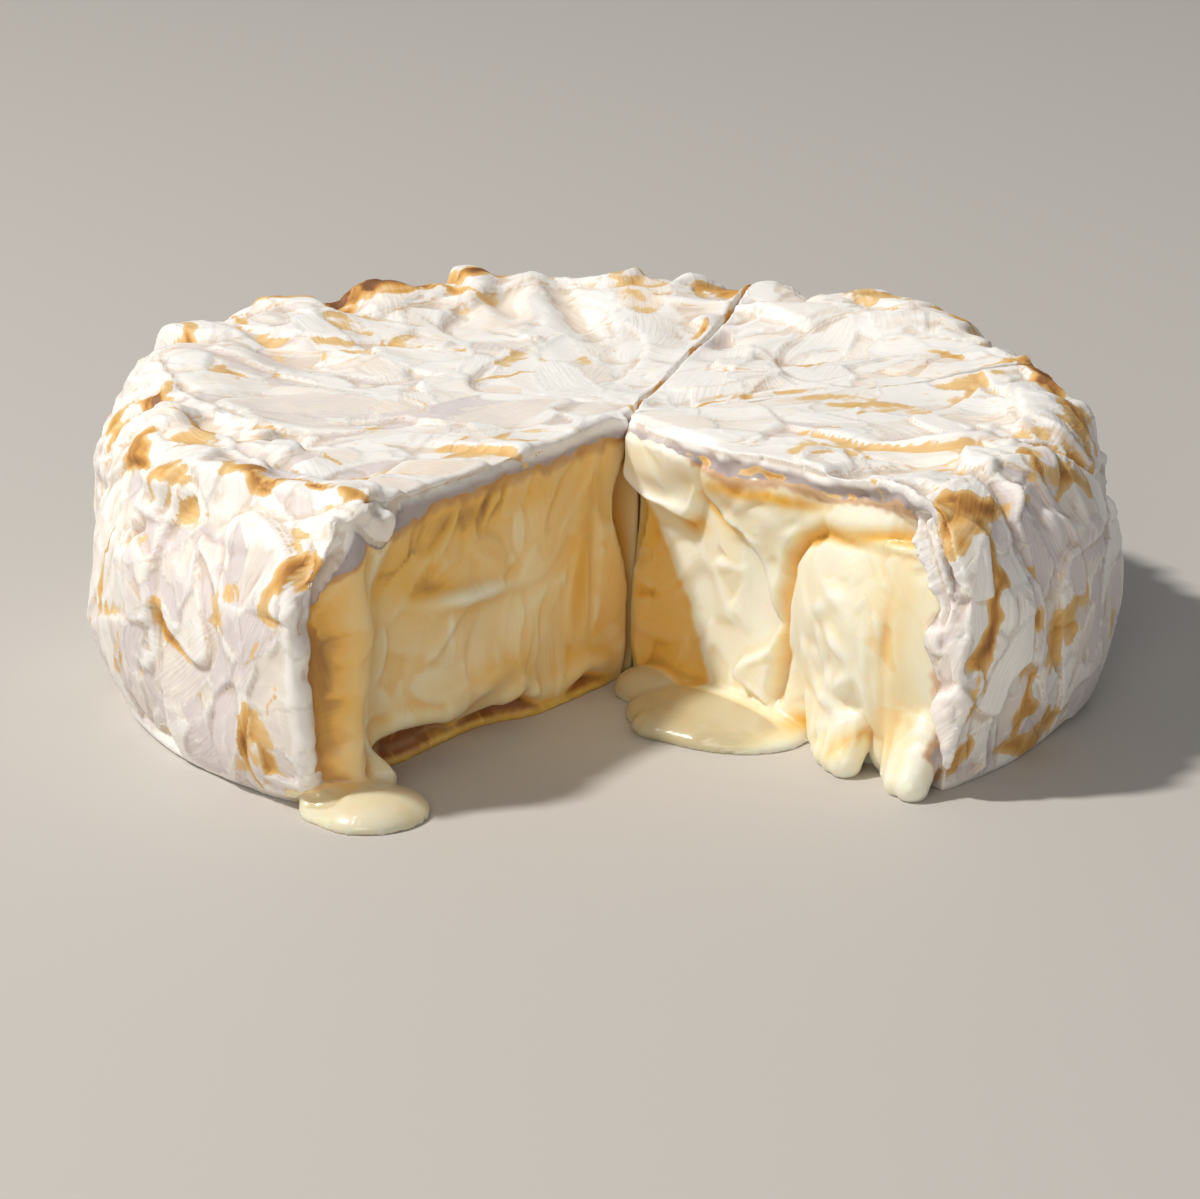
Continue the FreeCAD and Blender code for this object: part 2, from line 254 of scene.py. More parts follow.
# %% [markdown]
# ## Ramps and colours
#
# A colour ramp is set stop by stop. Its colours are easier to judge as values on a screen, while the
# nodes want linear light, so one function turns one into the other.

# %% Ramps and colours


def set_stops(ramp, stops):
    """Gives a colour ramp exactly these stops, each a place and a colour."""
    while len(ramp.elements) < len(stops):
        ramp.elements.new(1.0)
    for element, (place, shade) in zip(ramp.elements, stops):
        element.position = place
        element.color = shade


def colour(red, green, blue):
    """A linear colour from its values on a screen, each from 0 to 255."""
    values = [(value / 255.0 + 0.055) / 1.055 for value in (red, green, blue)]
    return tuple(value**2.4 for value in values) + (1.0,)


print("white in linear light:", [round(value, 3) for value in colour(246, 243, 235)])

# %% [markdown]
# ## From solid to soft mesh
#
# The solids come as thin, uneven triangles, which bend badly. Subdividing them would keep the thin
# ones thin. A voxel remesh lays an even net over each slice instead, fine enough for creases about a
# millimetre wide. Small extra forms, such as a drip of rind, are closed meshes joined on before the
# remesh, which melts them into the slice.

# %% Even net
NET_SMOOTHING = 0.5
NET_ROUNDS = 3


def mesh_arrays(mesh):
    """Corner places in millimetres and their normals, as arrays."""
    places = np.empty(len(mesh.vertices) * 3)
    mesh.vertices.foreach_get("co", places)
    normals = np.empty(len(mesh.vertices) * 3)
    mesh.vertices.foreach_get("normal", normals)
    return places.reshape(-1, 3) / MM, normals.reshape(-1, 3)


def write_places(mesh, places):
    """Moves the corners to places in millimetres."""
    mesh.vertices.foreach_set("co", (places * MM).ravel())
    mesh.update()


def even_net(name, source, extras, voxel):
    """A new object: the source mesh and the extra meshes melted into one even net."""
    vertices = [tuple(corner.co) for corner in source.vertices]
    faces = [tuple(face.vertices) for face in source.polygons]
    for extra_vertices, extra_faces in extras:
        start = len(vertices)
        vertices += [tuple(place * MM) for place in extra_vertices]
        faces += [tuple(start + corner for corner in face) for face in extra_faces]
    rough = bpy.data.meshes.new(name)
    rough.from_pydata(vertices, [], faces)
    piece = bpy.data.objects.new(name, rough)
    scene.collection.objects.link(piece)
    remesh = piece.modifiers.new("remesh", "REMESH")
    remesh.mode = "VOXEL"
    remesh.voxel_size = voxel * MM
    smooth = piece.modifiers.new("smooth", "SMOOTH")
    smooth.factor = NET_SMOOTHING
    smooth.iterations = NET_ROUNDS
    depsgraph = bpy.context.evaluated_depsgraph_get()
    even = bpy.data.meshes.new_from_object(piece.evaluated_get(depsgraph))
    piece.modifiers.clear()
    piece.data = even
    even.name = name
    return piece


print("corners of the solids:", {name: len(solid.data.vertices) for name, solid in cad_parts.items()})

# %% [markdown]
# ## Noise and smooth steps on arrays
#
# Food is never even, so most outlines and heights below get some seeded noise. It reads values from
# a small random lattice and blends them smoothly, so the same place always gets the same value.

# %% Noise
LATTICE_SEED = 11
LATTICE_SIZE = 32
LATTICE = np.random.default_rng(LATTICE_SEED).uniform(-1.0, 1.0, (LATTICE_SIZE,) * 3)


def noise(places, size, shift=0.0):
    """Smooth noise from -1 to 1, with blobs about one size across."""
    grid = places / size + shift
    cell = np.floor(grid).astype(int)
    part = grid - cell
    part = part * part * (3.0 - 2.0 * part)
    total = np.zeros(len(places))
    for corner in range(8):
        pick = np.array([corner & 1, (corner >> 1) & 1, corner >> 2])
        share = np.prod(np.where(pick, part, 1.0 - part), axis=1)
        x, y, z = ((cell + pick) % LATTICE_SIZE).T
        total += share * LATTICE[x, y, z]
    return total


def soft(value, low, high):
    """0 up to low, 1 from high on, smooth between."""
    part = np.clip((value - low) / (high - low), 0.0, 1.0)
    return part * part * (3.0 - 2.0 * part)


print("noise lattice:", LATTICE.shape)

# %% [markdown]
# ## The open faces and their drips
#
# Places on the two open cut faces are easiest to give as distance from the knife point, height above
# the board and standoff from the flat cut. Drips could be modelled one by one, but strings of beads
# are quicker to place: small balls along a path, squashed against the face. The remesh melts a string
# into one smooth lobe that hangs there.

# %% Open faces


def bead(centre, radii, axes):
    """A closed ball, stretched by three radii along three axes."""
    rings, segments = 8, 12
    vertices = [centre + axes[2] * radii[2]]
    for ring in range(1, rings):
        polar = math.pi * ring / rings
        for segment in range(segments):
            turn = 2.0 * math.pi * segment / segments
            level = axes[0] * (radii[0] * math.cos(turn)) + axes[1] * (radii[1] * math.sin(turn))
            vertices.append(centre + level * math.sin(polar) + axes[2] * (radii[2] * math.cos(polar)))
    vertices.append(centre - axes[2] * radii[2])
    last = len(vertices) - 1
    faces = []
    for segment in range(segments):
        follow = (segment + 1) % segments
        faces.append((0, 1 + segment, 1 + follow))
        for ring in range(rings - 2):
            upper = 1 + ring * segments
            lower = upper + segments
            faces.append((upper + segment, lower + segment, lower + follow, upper + follow))
        faces.append((last, last - segments + follow, last - segments + segment))
    return vertices, faces


BEADS_PER_STRETCH = 5


class OpenFace:
    """An open cut face, measured by distance from the knife point, height and standoff."""

    def __init__(self, direction, outward):
        self.along = heading(direction)
        self.out = heading(outward)

    def place(self, distance, height, out=0.0):
        """The point at these measures."""
        return KNIFE + self.along * distance + self.out * out + np.array([0.0, 0.0, height])

    def measure(self, places):
        """Distance, height and standoff of places."""
        away = places - KNIFE
        return away @ self.along, places[..., 2], away @ self.out

    def string(self, stops, squash=0.6, rise=1.0):
        """Centres and radii of beads through stops of distance, height, standoff and radius."""
        beads = []
        for start, end in zip(stops[:-1], stops[1:]):
            for share in np.linspace(0.0, 1.0, BEADS_PER_STRETCH):
                distance, height, out, radius = np.array(start) * (1.0 - share) + np.array(end) * share
                radii = (radius, radius * squash, radius * rise)
                beads.append((self.place(distance, height, out), radii))
        return beads

    def meshes(self, beads):
        """The beads as closed meshes."""
        axes = (self.along, self.out, np.array([0.0, 0.0, 1.0]))
        return [bead(centre, radii, axes) for centre, radii in beads]


left_open = OpenFace(LEFT_FACE, LEFT_FACE + 90.0)
right_open = OpenFace(RIGHT_FACE, RIGHT_FACE - 90.0)

print("open faces at %.0f and %.0f degrees" % (LEFT_FACE, RIGHT_FACE))

# %% [markdown]
# ## Drips of rind and of paste
#
# The rind sags over the cut edges in short drips, most of them at the outer corners. Paste has run
# down in a stream on the left, and on the right it hangs as a skirt from the pillow, with two lobes
# that reach furthest out. Each line gives a string's stops.

# %% Drips
LEFT_RIND = left_open.string([(48.6, 30.0, 0.2, 1.6), (46.6, 28.6, 0.7, 1.8), (44.8, 26.7, 1.0, 1.0)])
LEFT_RIND += left_open.string([(42.6, 29.6, 0.2, 1.5), (44.0, 28.4, 0.7, 1.8), (44.6, 26.7, 1.0, 1.0)])
LEFT_RIND += left_open.string([(51.4, 29.4, 0.0, 1.5), (52.2, 26.4, 0.1, 1.2), (53.2, 22.2, 0.1, 0.6)])
RIGHT_RIND = right_open.string([(45.8, 27.4, 0.2, 1.3), (47.6, 24.6, 0.4, 1.2), (49.2, 21.2, 0.2, 0.8)])
RIGHT_RIND += right_open.string([(49.8, 19.6, 0.2, 1.0), (48.9, 16.2, 0.4, 1.4), (49.8, 13.0, 0.2, 0.9)])
RIGHT_RIND += right_open.string([(50.2, 11.4, 0.2, 0.8), (50.0, 8.8, 0.3, 1.2), (51.0, 5.0, 0.1, 0.7)])
LEFT_PASTE = left_open.string([(46.6, 7.0, -1.4, 1.6), (46.5, 3.6, -0.9, 1.8), (46.6, 1.4, 0.3, 2.0)], 1.0)
# distance, height of the upper end, and standoff of the foot
SKIRT = [(31.0, 8.0, -0.4), (33.0, 10.5, 1.2), (35.0, 12.0, 2.6), (37.0, 11.0, 3.4), (38.7, 8.0, 3.8)]
SKIRT += [(40.8, 9.0, -0.6), (42.8, 7.5, -0.2), (44.6, 10.0, 1.8), (46.4, 12.0, 3.2), (48.4, 9.5, 3.5)]
RIGHT_PASTE = []
for distance, top, foot in SKIRT:
    upper = (distance - 1.6, top, -2.0, 2.0)
    middle = (distance - 0.8, 5.4, 0.4 * foot - 0.6, 2.0)
    lower = (distance, 1.4, foot, 1.9)
    RIGHT_PASTE += right_open.string([upper, middle, lower], 1.0)
PUDDLE_RIDGE = [(13.0, 0.6, 6.0, 2.8), (16.5, 0.6, 8.6, 4.0), (21.0, 0.6, 7.6, 3.8)]
RIGHT_PASTE += right_open.string(PUDDLE_RIDGE, 1.0, 0.4)
RIND_BEADS = {"slice_left": LEFT_RIND, "slice_rear": [], "slice_right": RIGHT_RIND}
PASTE_BEADS = {"slice_left": LEFT_PASTE, "slice_rear": [], "slice_right": RIGHT_PASTE}
print("beads of rind:", len(LEFT_RIND + RIGHT_RIND), "and of paste:", len(LEFT_PASTE + RIGHT_PASTE))

# %% [markdown]
# ## Where the rind is
#
# The rind is the outside of the wheel: its top and its side. A painted mask would have to follow every
# cut by hand. The distance from the outside tells instead how deep a place on a cut face lies inside
# the cheese: the first one or two millimetres are rind, seen edge-on, and everything deeper is paste.
# Paste that has spilt on the board, low down and in front of a face, doesn't count as outside.

# %% Depth under the skin


def side_profile():
    """The wheel's radius at steps of one millimetre in height, read off the uncut part of its side."""
    places = mesh_arrays(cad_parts["slice_left"].data)[0]
    bearing = np.degrees(np.arctan2(places[:, 1], places[:, 0]))
    reach = np.hypot(places[:, 0], places[:, 1])[bearing > 90.0]
    height = places[:, 2][bearing > 90.0]
    bands = np.arange(0.0, HEIGHT)
    near = [reach[np.abs(height - band) < 1.2] for band in bands]
    return bands, np.array([band.max() for band in near])


PROFILE_HEIGHTS, PROFILE_RADII = side_profile()
SPILL_HEIGHT = 4.0
print("side profile: %.1f to %.1f mm" % (PROFILE_RADII.min(), PROFILE_RADII.max()))


def beyond(side, place):
    """Whether a place stands in front of an open face."""
    distance, _, out = side.measure(place)
    return distance > 0.0 and 0.7 < out < 20.0


def skin_tree(source):
    """A search tree over those faces of a solid that carry rind."""
    polygons = []
    for face in source.polygons:
        centre = np.array(face.center) / MM
        normal = np.array(face.normal)
        reach = math.hypot(centre[0], centre[1])
        outward = normal[:2] @ centre[:2] / max(reach, 0.01)
        short = np.interp(centre[2], PROFILE_HEIGHTS, PROFILE_RADII) - reach
        spilt = centre[2] < SPILL_HEIGHT and (
            short < -0.5 or beyond(left_open, centre) or beyond(right_open, centre)
        )
        top = normal[2] > 0.5 and centre[2] > 0.86 * HEIGHT
        if top or (short < 1.5 and not spilt and max(outward, normal[2]) > 0.45):
            polygons.append(tuple(face.vertices))
    return BVHTree.FromPolygons([corner.co for corner in source.vertices], polygons)


def depth_below(tree, places):
    """How far each place lies from the rind's outside, in millimetres."""
    return np.array([tree.find_nearest(Vector(place * MM))[3] for place in places]) / MM


def on_beads(places, beads):
    """1 on the beads of rind, falling to 0 within a millimetre of them."""
    mask = np.zeros(len(places))
    for centre, radii in beads:
        away = np.linalg.norm(places - centre, axis=1)
        mask = np.maximum(mask, 1.0 - soft(away, radii[0] + 0.1, radii[0] + 0.6))
    return mask


print("spills lie below:", SPILL_HEIGHT, "mm")

# %% [markdown]
# ## Plates of rind
#
# Mould grows over a soft paste that sinks and slides, so the rind crumples into overlapping plates
# with flat facets and little steps between them. Noise alone would give round lumps. Each layer below
# lays down tilted leaf shapes instead, one after another, each over the last, as if with a knife. The
# steps are kept as well, because dust and colour gather there.

# %% Plates


def rotate(vector, axis, turn):
    """A vector turned about a unit axis, by an angle in radians."""
    return vector * math.cos(turn) + np.cross(axis, vector) * math.sin(turn)


class Plates:
    """A layer of leaf-shaped plates over part of a net: height, tone, steps and local lengths."""

    def __init__(self, places):
        self.places = places
        self.height = np.zeros(len(places))
        self.tone = np.full(len(places), 0.5)
        self.step = np.zeros(len(places))
        self.grain = np.zeros((len(places), 2))

    def lay(self, index, near, axis, across, half_long, half_wide, rng, edge):
        """One tilted leaf over the corners near its middle."""
        away = self.places[near] - self.places[index]
        a = away @ axis / half_long
        b = away @ across / half_wide + rng.uniform(-0.6, 0.6) * a * a
        lean_a, lean_b = rng.uniform(-0.7, 0.7, 2)
        plane = rng.uniform(-0.6, 0.6) + lean_a * a + lean_b * b
        shape = soft(1.0 - np.sqrt(a * a + b * b), 0.0, edge)
        self.height[near] += (plane - self.height[near]) * shape
        self.step[near] = np.maximum(self.step[near] * (1.0 - shape), 4.0 * shape * (1.0 - shape))
        inside = shape > 0.5
        self.tone[near[inside]] = rng.uniform()
        self.grain[near[inside], 0] = a[inside] * half_long + rng.uniform(0.0, 50.0)
        self.grain[near[inside], 1] = b[inside] * half_wide + rng.uniform(0.0, 50.0)


def lay_plates(places, normals, chosen, guide, rng, spacing, length, width, voxel, edge=0.12):
    """Plates about one spacing apart, laid over the chosen corners."""
    layer = Plates(places)
    tree = KDTree(len(chosen))
    for index in chosen:
        tree.insert(places[index], index)
    tree.balance()
    for index in rng.choice(chosen, int(len(chosen) * voxel**2 / spacing**2)):
        size = rng.uniform(0.6, 1.3)
        half_long = length * size / 2.0
        half_wide = width * size / 2.0 * rng.uniform(0.8, 1.2)
        axis = guide(places[index], normals[index], rng)
        across = np.cross(normals[index], axis)
        near = np.array([hit[1] for hit in tree.find_range(places[index], half_long * 1.05)])
        near = near[normals[near] @ normals[index] > 0.3]
        layer.lay(index, near, axis, across, half_long, half_wide, rng, edge)
    return layer


print("a plate's edge, from outside in:", soft(np.linspace(0.0, 0.15, 6), 0.0, 0.12).round(2))

# %% [markdown]
# ## Which way the plates run
#
# A plate's long side follows the way the surface was pulled: outward on the top, around on the
# shoulder, upright on the side, and downhill where paste was smeared. A random turn keeps them apart.

# %% Guides


def skin_guide(place, normal, rng):
    """The run of a rind plate: outward on top, around along the shoulder, and upright on the side."""
    reach = math.hypot(place[0], place[1])
    outward = np.array([place[0], place[1], 0.0]) / max(reach, 0.01)
    around = np.cross([0.0, 0.0, 1.0], outward)
    axis, spread = np.array([0.0, 0.0, 1.0]), 0.8
    if normal[2] > 0.75:
        axis, spread = (outward, 0.6) if reach < 0.82 * RADIUS else (around, 0.7)
    axis = axis - normal * (axis @ normal)
    axis = axis / np.linalg.norm(axis)
    return rotate(axis, normal, rng.normal(0.0, spread))


def fold_guide(place, normal, rng):
    """The run of a pinched fold at the rim: straight out over the shoulder."""
    outward = np.array([place[0], place[1], 0.0]) / math.hypot(place[0], place[1])
    axis = outward - normal * (outward @ normal)
    axis = axis / max(np.linalg.norm(axis), 0.01)
    return rotate(axis, normal, rng.normal(0.0, 0.45))


def paste_guide(place, normal, rng):
    """The run of a smear on paste: mostly downhill, wherever it lies."""
    axis = np.array([0.0, 0.0, 1.0])
    axis = axis - normal * (axis @ normal) + 0.001
    axis = axis / np.linalg.norm(axis)
    return rotate(axis, normal, rng.normal(0.0, 0.7))


one_smear = paste_guide(KNIFE, right_open.out, np.random.default_rng(0))
print("one smear on the right face runs:", one_smear.round(2))

# %% [markdown]
# ## Worn patches
#
# Where the rind is rubbed or dried, ochre and brown show through the white. Random patches alone would miss
# the ones that give this wheel its face, so the front ones are listed one by one, each as a soft oval.
# On top a patch is x, y, length, width, turn and strength. On the side it is bearing, height, length,
# width, turn and strength. A band along the rim runs from one bearing to another.

# %% Patches
TOP_PATCHES = [
    (-50.0, -13.0, 6.0, 2.0, -68.0, 0.95),
    (-45.0, -25.5, 4.5, 2.0, -70.0, 0.95),
    (-31.5, -34.6, 10.0, 1.3, -36.0, 1.35),
    (-47.5, 1.0, 4.0, 1.5, 80.0, 0.9),
    (-41.8, -11.0, 4.0, 1.4, -50.0, 0.85),
    (-30.0, -17.5, 7.0, 0.7, -42.0, 0.7),
    (-30.5, 40.0, 8.0, 2.8, 38.0, 1.3),
    (-21.5, 44.0, 8.0, 2.8, 18.0, 1.4),
    (-13.0, 45.8, 5.0, 2.4, 15.0, 1.3),
    (-27.6, 38.0, 3.0, 1.2, 60.0, 1.05),
    (-18.0, 40.5, 8.0, 1.0, 10.0, 0.7),
    (-37.8, 9.0, 6.0, 2.6, 60.0, 0.6),
    (-38.4, 28.5, 4.5, 1.2, 100.0, 0.8),
    (-3.4, 48.5, 4.0, 2.0, 0.0, 0.45),
    (14.2, 45.0, 5.0, 3.4, 60.0, 0.85),
    (12.0, 30.0, 6.0, 0.8, 73.0, 0.7),
    (30.5, 38.0, 6.0, 3.6, -35.0, 0.6),
    (22.0, 20.0, 7.0, 1.0, 8.0, 0.72),
    (14.0, 4.5, 9.0, 0.8, 22.0, 0.75),
    (28.0, 0.5, 7.0, 1.2, 10.0, 0.5),
    (39.5, 33.0, 5.0, 2.2, -45.0, 1.1),
    (47.7, 11.0, 4.5, 2.4, -75.0, 1.1),
    (49.5, -5.0, 8.0, 2.4, 88.0, 0.95),
    (47.0, -21.0, 6.0, 2.2, 68.0, 1.0),
    (40.0, -33.0, 6.0, 2.3, 52.0, 1.05),
    (33.5, -38.0, 4.5, 2.0, 40.0, 0.95),
    (26.8, -31.0, 3.0, 1.6, 10.0, 0.65),
    (36.0, -22.0, 2.6, 1.0, 20.0, 0.7),
    (30.4, -25.0, 2.0, 0.9, 0.0, 0.6),
    (-16.0, -14.0, 3.0, 0.8, 50.0, 0.6),
    (3.4, 0.6, 1.8, 0.8, 80.0, 0.95),
    (-44.0, 20.0, 5.0, 1.6, 60.0, 0.75),
    (-36.0, -30.0, 3.4, 1.3, -80.0, 0.8),
    (44.0, -28.0, 3.0, 2.0, 10.0, 0.95),
    (6.0, 51.5, 5.0, 1.6, 0.0, 0.6),
    (38.0, 20.0, 4.0, 1.2, -30.0, 0.6),
    (24.0, -10.0, 4.0, 0.8, 10.0, 0.6),
    (-24.0, -26.0, 5.0, 0.8, -30.0, 0.6),
    (-10.0, 14.0, 5.0, 0.7, 40.0, 0.55),
    (-22.0, -8.0, 4.0, 0.7, 10.0, 0.55),
]
SIDE_PATCHES = [
    (-134.1, 19.2, 4.5, 3.0, -20.0, 1.0),
    (-146.0, 15.0, 6.5, 1.0, -35.0, 1.0),
    (-158.0, 9.0, 4.0, 1.4, 50.0, 0.9),
    (-164.0, 18.0, 6.0, 1.2, 85.0, 0.85),
    (-139.0, 8.0, 4.0, 1.2, 70.0, 0.8),
    (-128.0, 16.0, 4.0, 1.2, 60.0, 0.85),
    (-129.0, 6.6, 4.5, 4.0, 20.0, 1.1),
    (-132.5, 3.6, 6.0, 1.8, -20.0, 1.0),
    (-124.0, 24.5, 5.0, 1.8, 80.0, 1.05),
    (-125.5, 12.0, 3.0, 0.9, 80.0, 0.7),
    (-141.0, 26.5, 6.0, 1.0, 10.0, 0.6),
    (-152.0, 24.0, 5.0, 1.2, 60.0, 0.6),
    (-47.0, 26.0, 3.4, 1.8, 70.0, 1.0),
    (-43.5, 17.0, 11.0, 1.3, 75.0, 1.2),
    (-36.0, 17.5, 7.0, 1.1, 86.0, 1.1),
    (-34.3, 6.5, 6.0, 1.2, 88.0, 1.1),
    (-31.0, 1.5, 8.0, 2.2, 3.0, 1.0),
    (-46.0, 3.0, 3.0, 1.6, 20.0, 0.8),
    (-27.0, 14.0, 8.0, 2.4, 75.0, 0.75),
    (-20.0, 14.0, 8.0, 1.6, 80.0, 0.65),
    (-10.0, 11.0, 8.0, 1.4, 80.0, 0.75),
]
RIM_BANDS = [(-50.0, -32.0, 0.6), (-30.0, -4.0, 0.55), (118.0, 140.0, 0.5)]
print("patches set by hand:", len(TOP_PATCHES) + len(SIDE_PATCHES))

# %% [markdown]
# ## Wear from the patches
#
# The patches become one field of wear over the whole rind. Plain ovals look stamped, so the places
# are first bent by noise, which frays their outlines. The turned-away side gets scattered patches,
# the shoulder is a little more worn than the rest, and a thin ochre line follows the closed cuts.

# %% Wear
SCATTER_SEED = 5
WEAR_FRAY = 2.2


def patch(across, up, length, width, turn):
    """A soft oval: 1 in its middle, at places given by two distances from there."""
    slant = math.radians(turn)
    a = (across * math.cos(slant) + up * math.sin(slant)) / length
    b = (up * math.cos(slant) - across * math.sin(slant)) / width
    return np.exp(-(a * a + b * b))


def turned_by(bearing, middle):
    """Degrees from one bearing to another, the short way round."""
    return (bearing - middle + 180.0) % 360.0 - 180.0


def scattered_patches():
    """Patches for the turned-away side."""
    rng = np.random.default_rng(SCATTER_SEED)
    patches = []
    for bearing in np.arange(10.0, 200.0, 9.0):
        size = rng.uniform(2.0, 7.0)
        spot = (bearing + rng.uniform(-4.0, 4.0), rng.uniform(3.0, 29.0), size, size * 0.35)
        patches.append(spot + (rng.uniform(-90.0, 90.0), rng.uniform(0.5, 1.0)))
    return patches


def wear_of(places):
    """How worn the rind is, 0 for white and about 1 for brown."""
    bend = [noise(places, 4.5, shift) + 0.5 * noise(places, 1.8, shift + 3.7) for shift in (1.3, 5.9, 8.8)]
    places = places + WEAR_FRAY * np.stack(bend, axis=1)
    bearing = np.degrees(np.arctan2(places[:, 1], places[:, 0]))
    reach = np.hypot(places[:, 0], places[:, 1])
    top = soft(places[:, 2], 0.78 * HEIGHT, 0.9 * HEIGHT)
    wear = np.zeros(len(places))
    for x, y, length, width, turn, strength in TOP_PATCHES:
        spot = patch(places[:, 0] - x, places[:, 1] - y, length, width, turn)
        wear = np.maximum(wear, strength * spot * top)
    for middle, height, length, width, turn, strength in SIDE_PATCHES + scattered_patches():
        gap = turned_by(bearing, middle)
        spot = patch(np.radians(gap) * RADIUS, places[:, 2] - height, length, width, turn)
        wear = np.maximum(wear, strength * spot * (1.0 - top * 0.6))
    shoulder = soft(reach, 0.86 * RADIUS, 0.93 * RADIUS) * soft(places[:, 2], 0.72 * HEIGHT, 0.86 * HEIGHT)
    wear = np.maximum(wear, shoulder * (0.2 + 0.5 * noise(places, 7.0, 3.3)))
    for start, end, strength in RIM_BANDS:
        half = (end - start) / 2.0
        gap = np.abs(turned_by(bearing, (start + end) / 2.0))
        band = 1.0 - soft(gap, half - 2.0, half + 3.0)
        band *= soft(reach, 0.88 * RADIUS, 0.93 * RADIUS)
        below_top = 1.0 - soft(places[:, 2], 0.93 * HEIGHT, HEIGHT)
        band *= soft(places[:, 2], 0.78 * HEIGHT, 0.85 * HEIGHT) * below_top
        wear = np.maximum(wear, band * strength * (1.0 + 0.5 * noise(places, 2.5, 1.7)))
    wear = np.maximum(wear, 0.12 + 0.28 * noise(places, 9.0, 5.7))
    return wear


def cut_wear(places):
    """Ochre lines along the closed cuts, broken here and there."""
    wear = np.zeros(len(places))
    for cut in (SIDE_CUT, REAR_CUT):
        away = places - KNIFE
        aside = np.abs(away @ heading(cut + 90.0))
        along = soft(away @ heading(cut), 1.0, 4.0)
        wear = np.maximum(wear, along * (1.0 - soft(aside, 0.4, 1.3)) * (0.4 + 0.7 * noise(places, 4.0)))
    return wear


print("scattered patches:", len(scattered_patches()))

# %% [markdown]
# ## Hollows and crests of the top
#
# The wheel has sagged unevenly, so its top has soft hollows behind the rim and a pinched crest along
# the front left. Sculpting them would tie them to one mesh. Here each is one soft oval, given by x, y,
# length, width, turn and rise, so it keeps its place when the net changes.

# %% Hollows and crests
TOP_FORMS = [
    (-40.5, -9.5, 6.0, 2.4, -55.0, -1.3),
    (-35.0, -21.5, 7.5, 2.2, -42.0, -1.3),
    (-38.0, 26.5, 5.0, 2.6, 130.0, -1.2),
    (-33.5, 18.0, 6.5, 3.0, 150.0, -1.1),
    (-27.0, 36.0, 5.0, 2.8, 120.0, -1.3),
    (-19.0, 38.5, 6.0, 3.0, 20.0, -1.2),
    (-10.5, 41.5, 5.5, 1.8, 100.0, -1.1),
    (-3.0, 38.0, 9.0, 1.8, 105.0, -1.0),
    (20.5, 21.5, 8.0, 2.0, 8.0, -1.0),
    (14.0, 27.0, 3.0, 2.4, 60.0, -1.0),
    (31.5, 24.0, 8.0, 4.0, -20.0, -0.8),
    (14.0, 6.5, 9.0, 1.6, 22.0, -0.8),
    (40.5, -5.0, 6.0, 3.0, 80.0, -0.9),
    (30.0, -13.0, 6.0, 2.0, 15.0, -0.6),
    (-47.0, -21.5, 7.0, 1.5, -62.0, 0.9),
    (-39.5, -28.5, 7.0, 1.6, -40.0, 0.9),
    (-30.5, -35.0, 6.0, 1.6, -33.0, 0.9),
    (-13.8, 48.5, 3.0, 1.8, 80.0, 0.8),
    (4.6, 51.0, 4.0, 1.6, 90.0, 0.7),
    (36.0, 38.0, 4.0, 1.8, 40.0, 0.7),
    (20.0, 8.0, 10.0, 0.9, 20.0, 0.6),
]
TOP_FORM_SHARE = 1.5


def top_lift(places):
    """How far the top's own hollows and crests move it, in millimetres."""
    top = soft(places[:, 2], 0.84 * HEIGHT, 0.9 * HEIGHT)
    lift = np.zeros(len(places))
    for x, y, length, width, turn, rise in TOP_FORMS:
        lift += rise * patch(places[:, 0] - x, places[:, 1] - y, length, width, turn)
    return TOP_FORM_SHARE * lift * top


print("forms of the top:", len(TOP_FORMS))

# %% [markdown]
# ## Tints of the paste
#
# Paste is not one colour. It is pale cream where it is fresh, gold where it is ripe, and brown in places.
# Some spots are painted light and shade: shade under the rind, under a festoon's tip and in a notch, light
# on a festoon, and a highlight on the pillow. Random blotches would lose the look of these two cuts, so
# soft ovals pull an even tint toward their own value. Each is distance along the face, height, length,
# width, turn and value, from 0 for cream to 1 for brown.

# %% Tints
LEFT_TINTS = [
    # Painted shade: the outer end, under the rind's overhang, is darker gold.
    (52.0, 15.0, 13.0, 2.8, 90.0, 0.77),
    (50.6, 6.5, 2.8, 1.2, 80.0, 0.5),
    # Painted shade: the top left, under the rind, is darker gold.
    (41.0, 23.0, 9.0, 4.0, 0.0, 0.77),
    (28.0, 25.5, 14.0, 2.0, 0.0, 0.82),
    (30.0, 9.5, 12.0, 6.0, 0.0, 0.36),
    (18.0, 13.0, 8.0, 4.5, 90.0, 0.34),
    (35.9, 19.1, 3.4, 1.8, 10.0, 0.75),
    (29.2, 17.0, 5.6, 0.8, 6.0, 0.12),
    (32.8, 13.7, 1.8, 0.5, 80.0, 0.0),
    (26.0, 7.4, 6.5, 1.5, 4.0, 0.74),
    (8.5, 15.5, 11.0, 2.2, 100.0, 0.72),
    (7.5, 5.5, 3.0, 2.5, 0.0, 0.55),
]
RIGHT_TINTS = [
    (14.5, 14.0, 7.0, 4.0, 110.0, 0.04),
    (43.6, 12.0, 13.0, 3.2, 90.0, 0.46),
    (35.5, 11.0, 9.0, 5.0, 90.0, 0.06),
    # Painted highlight: white on the pillow.
    (35.9, 8.0, 4.0, 1.6, 100.0, 0.0),
    # Painted light: the festoon at the top is kept pale as if lit.
    (6.0, 24.0, 5.0, 2.0, -20.0, 0.0),
    (14.5, 22.6, 3.0, 0.9, -35.0, 0.85),
    # Painted shade under the festoon's tip.
    (11.0, 20.0, 2.2, 1.3, 0.0, 0.66),
    (22.0, 25.8, 8.0, 0.8, 0.0, 0.84),
    (27.9, 2.1, 2.0, 1.0, 0.0, 0.72),
    # Painted shade in the notch between the skirt's lobes.
    (38.5, 3.0, 3.0, 1.0, 45.0, 0.7),
]


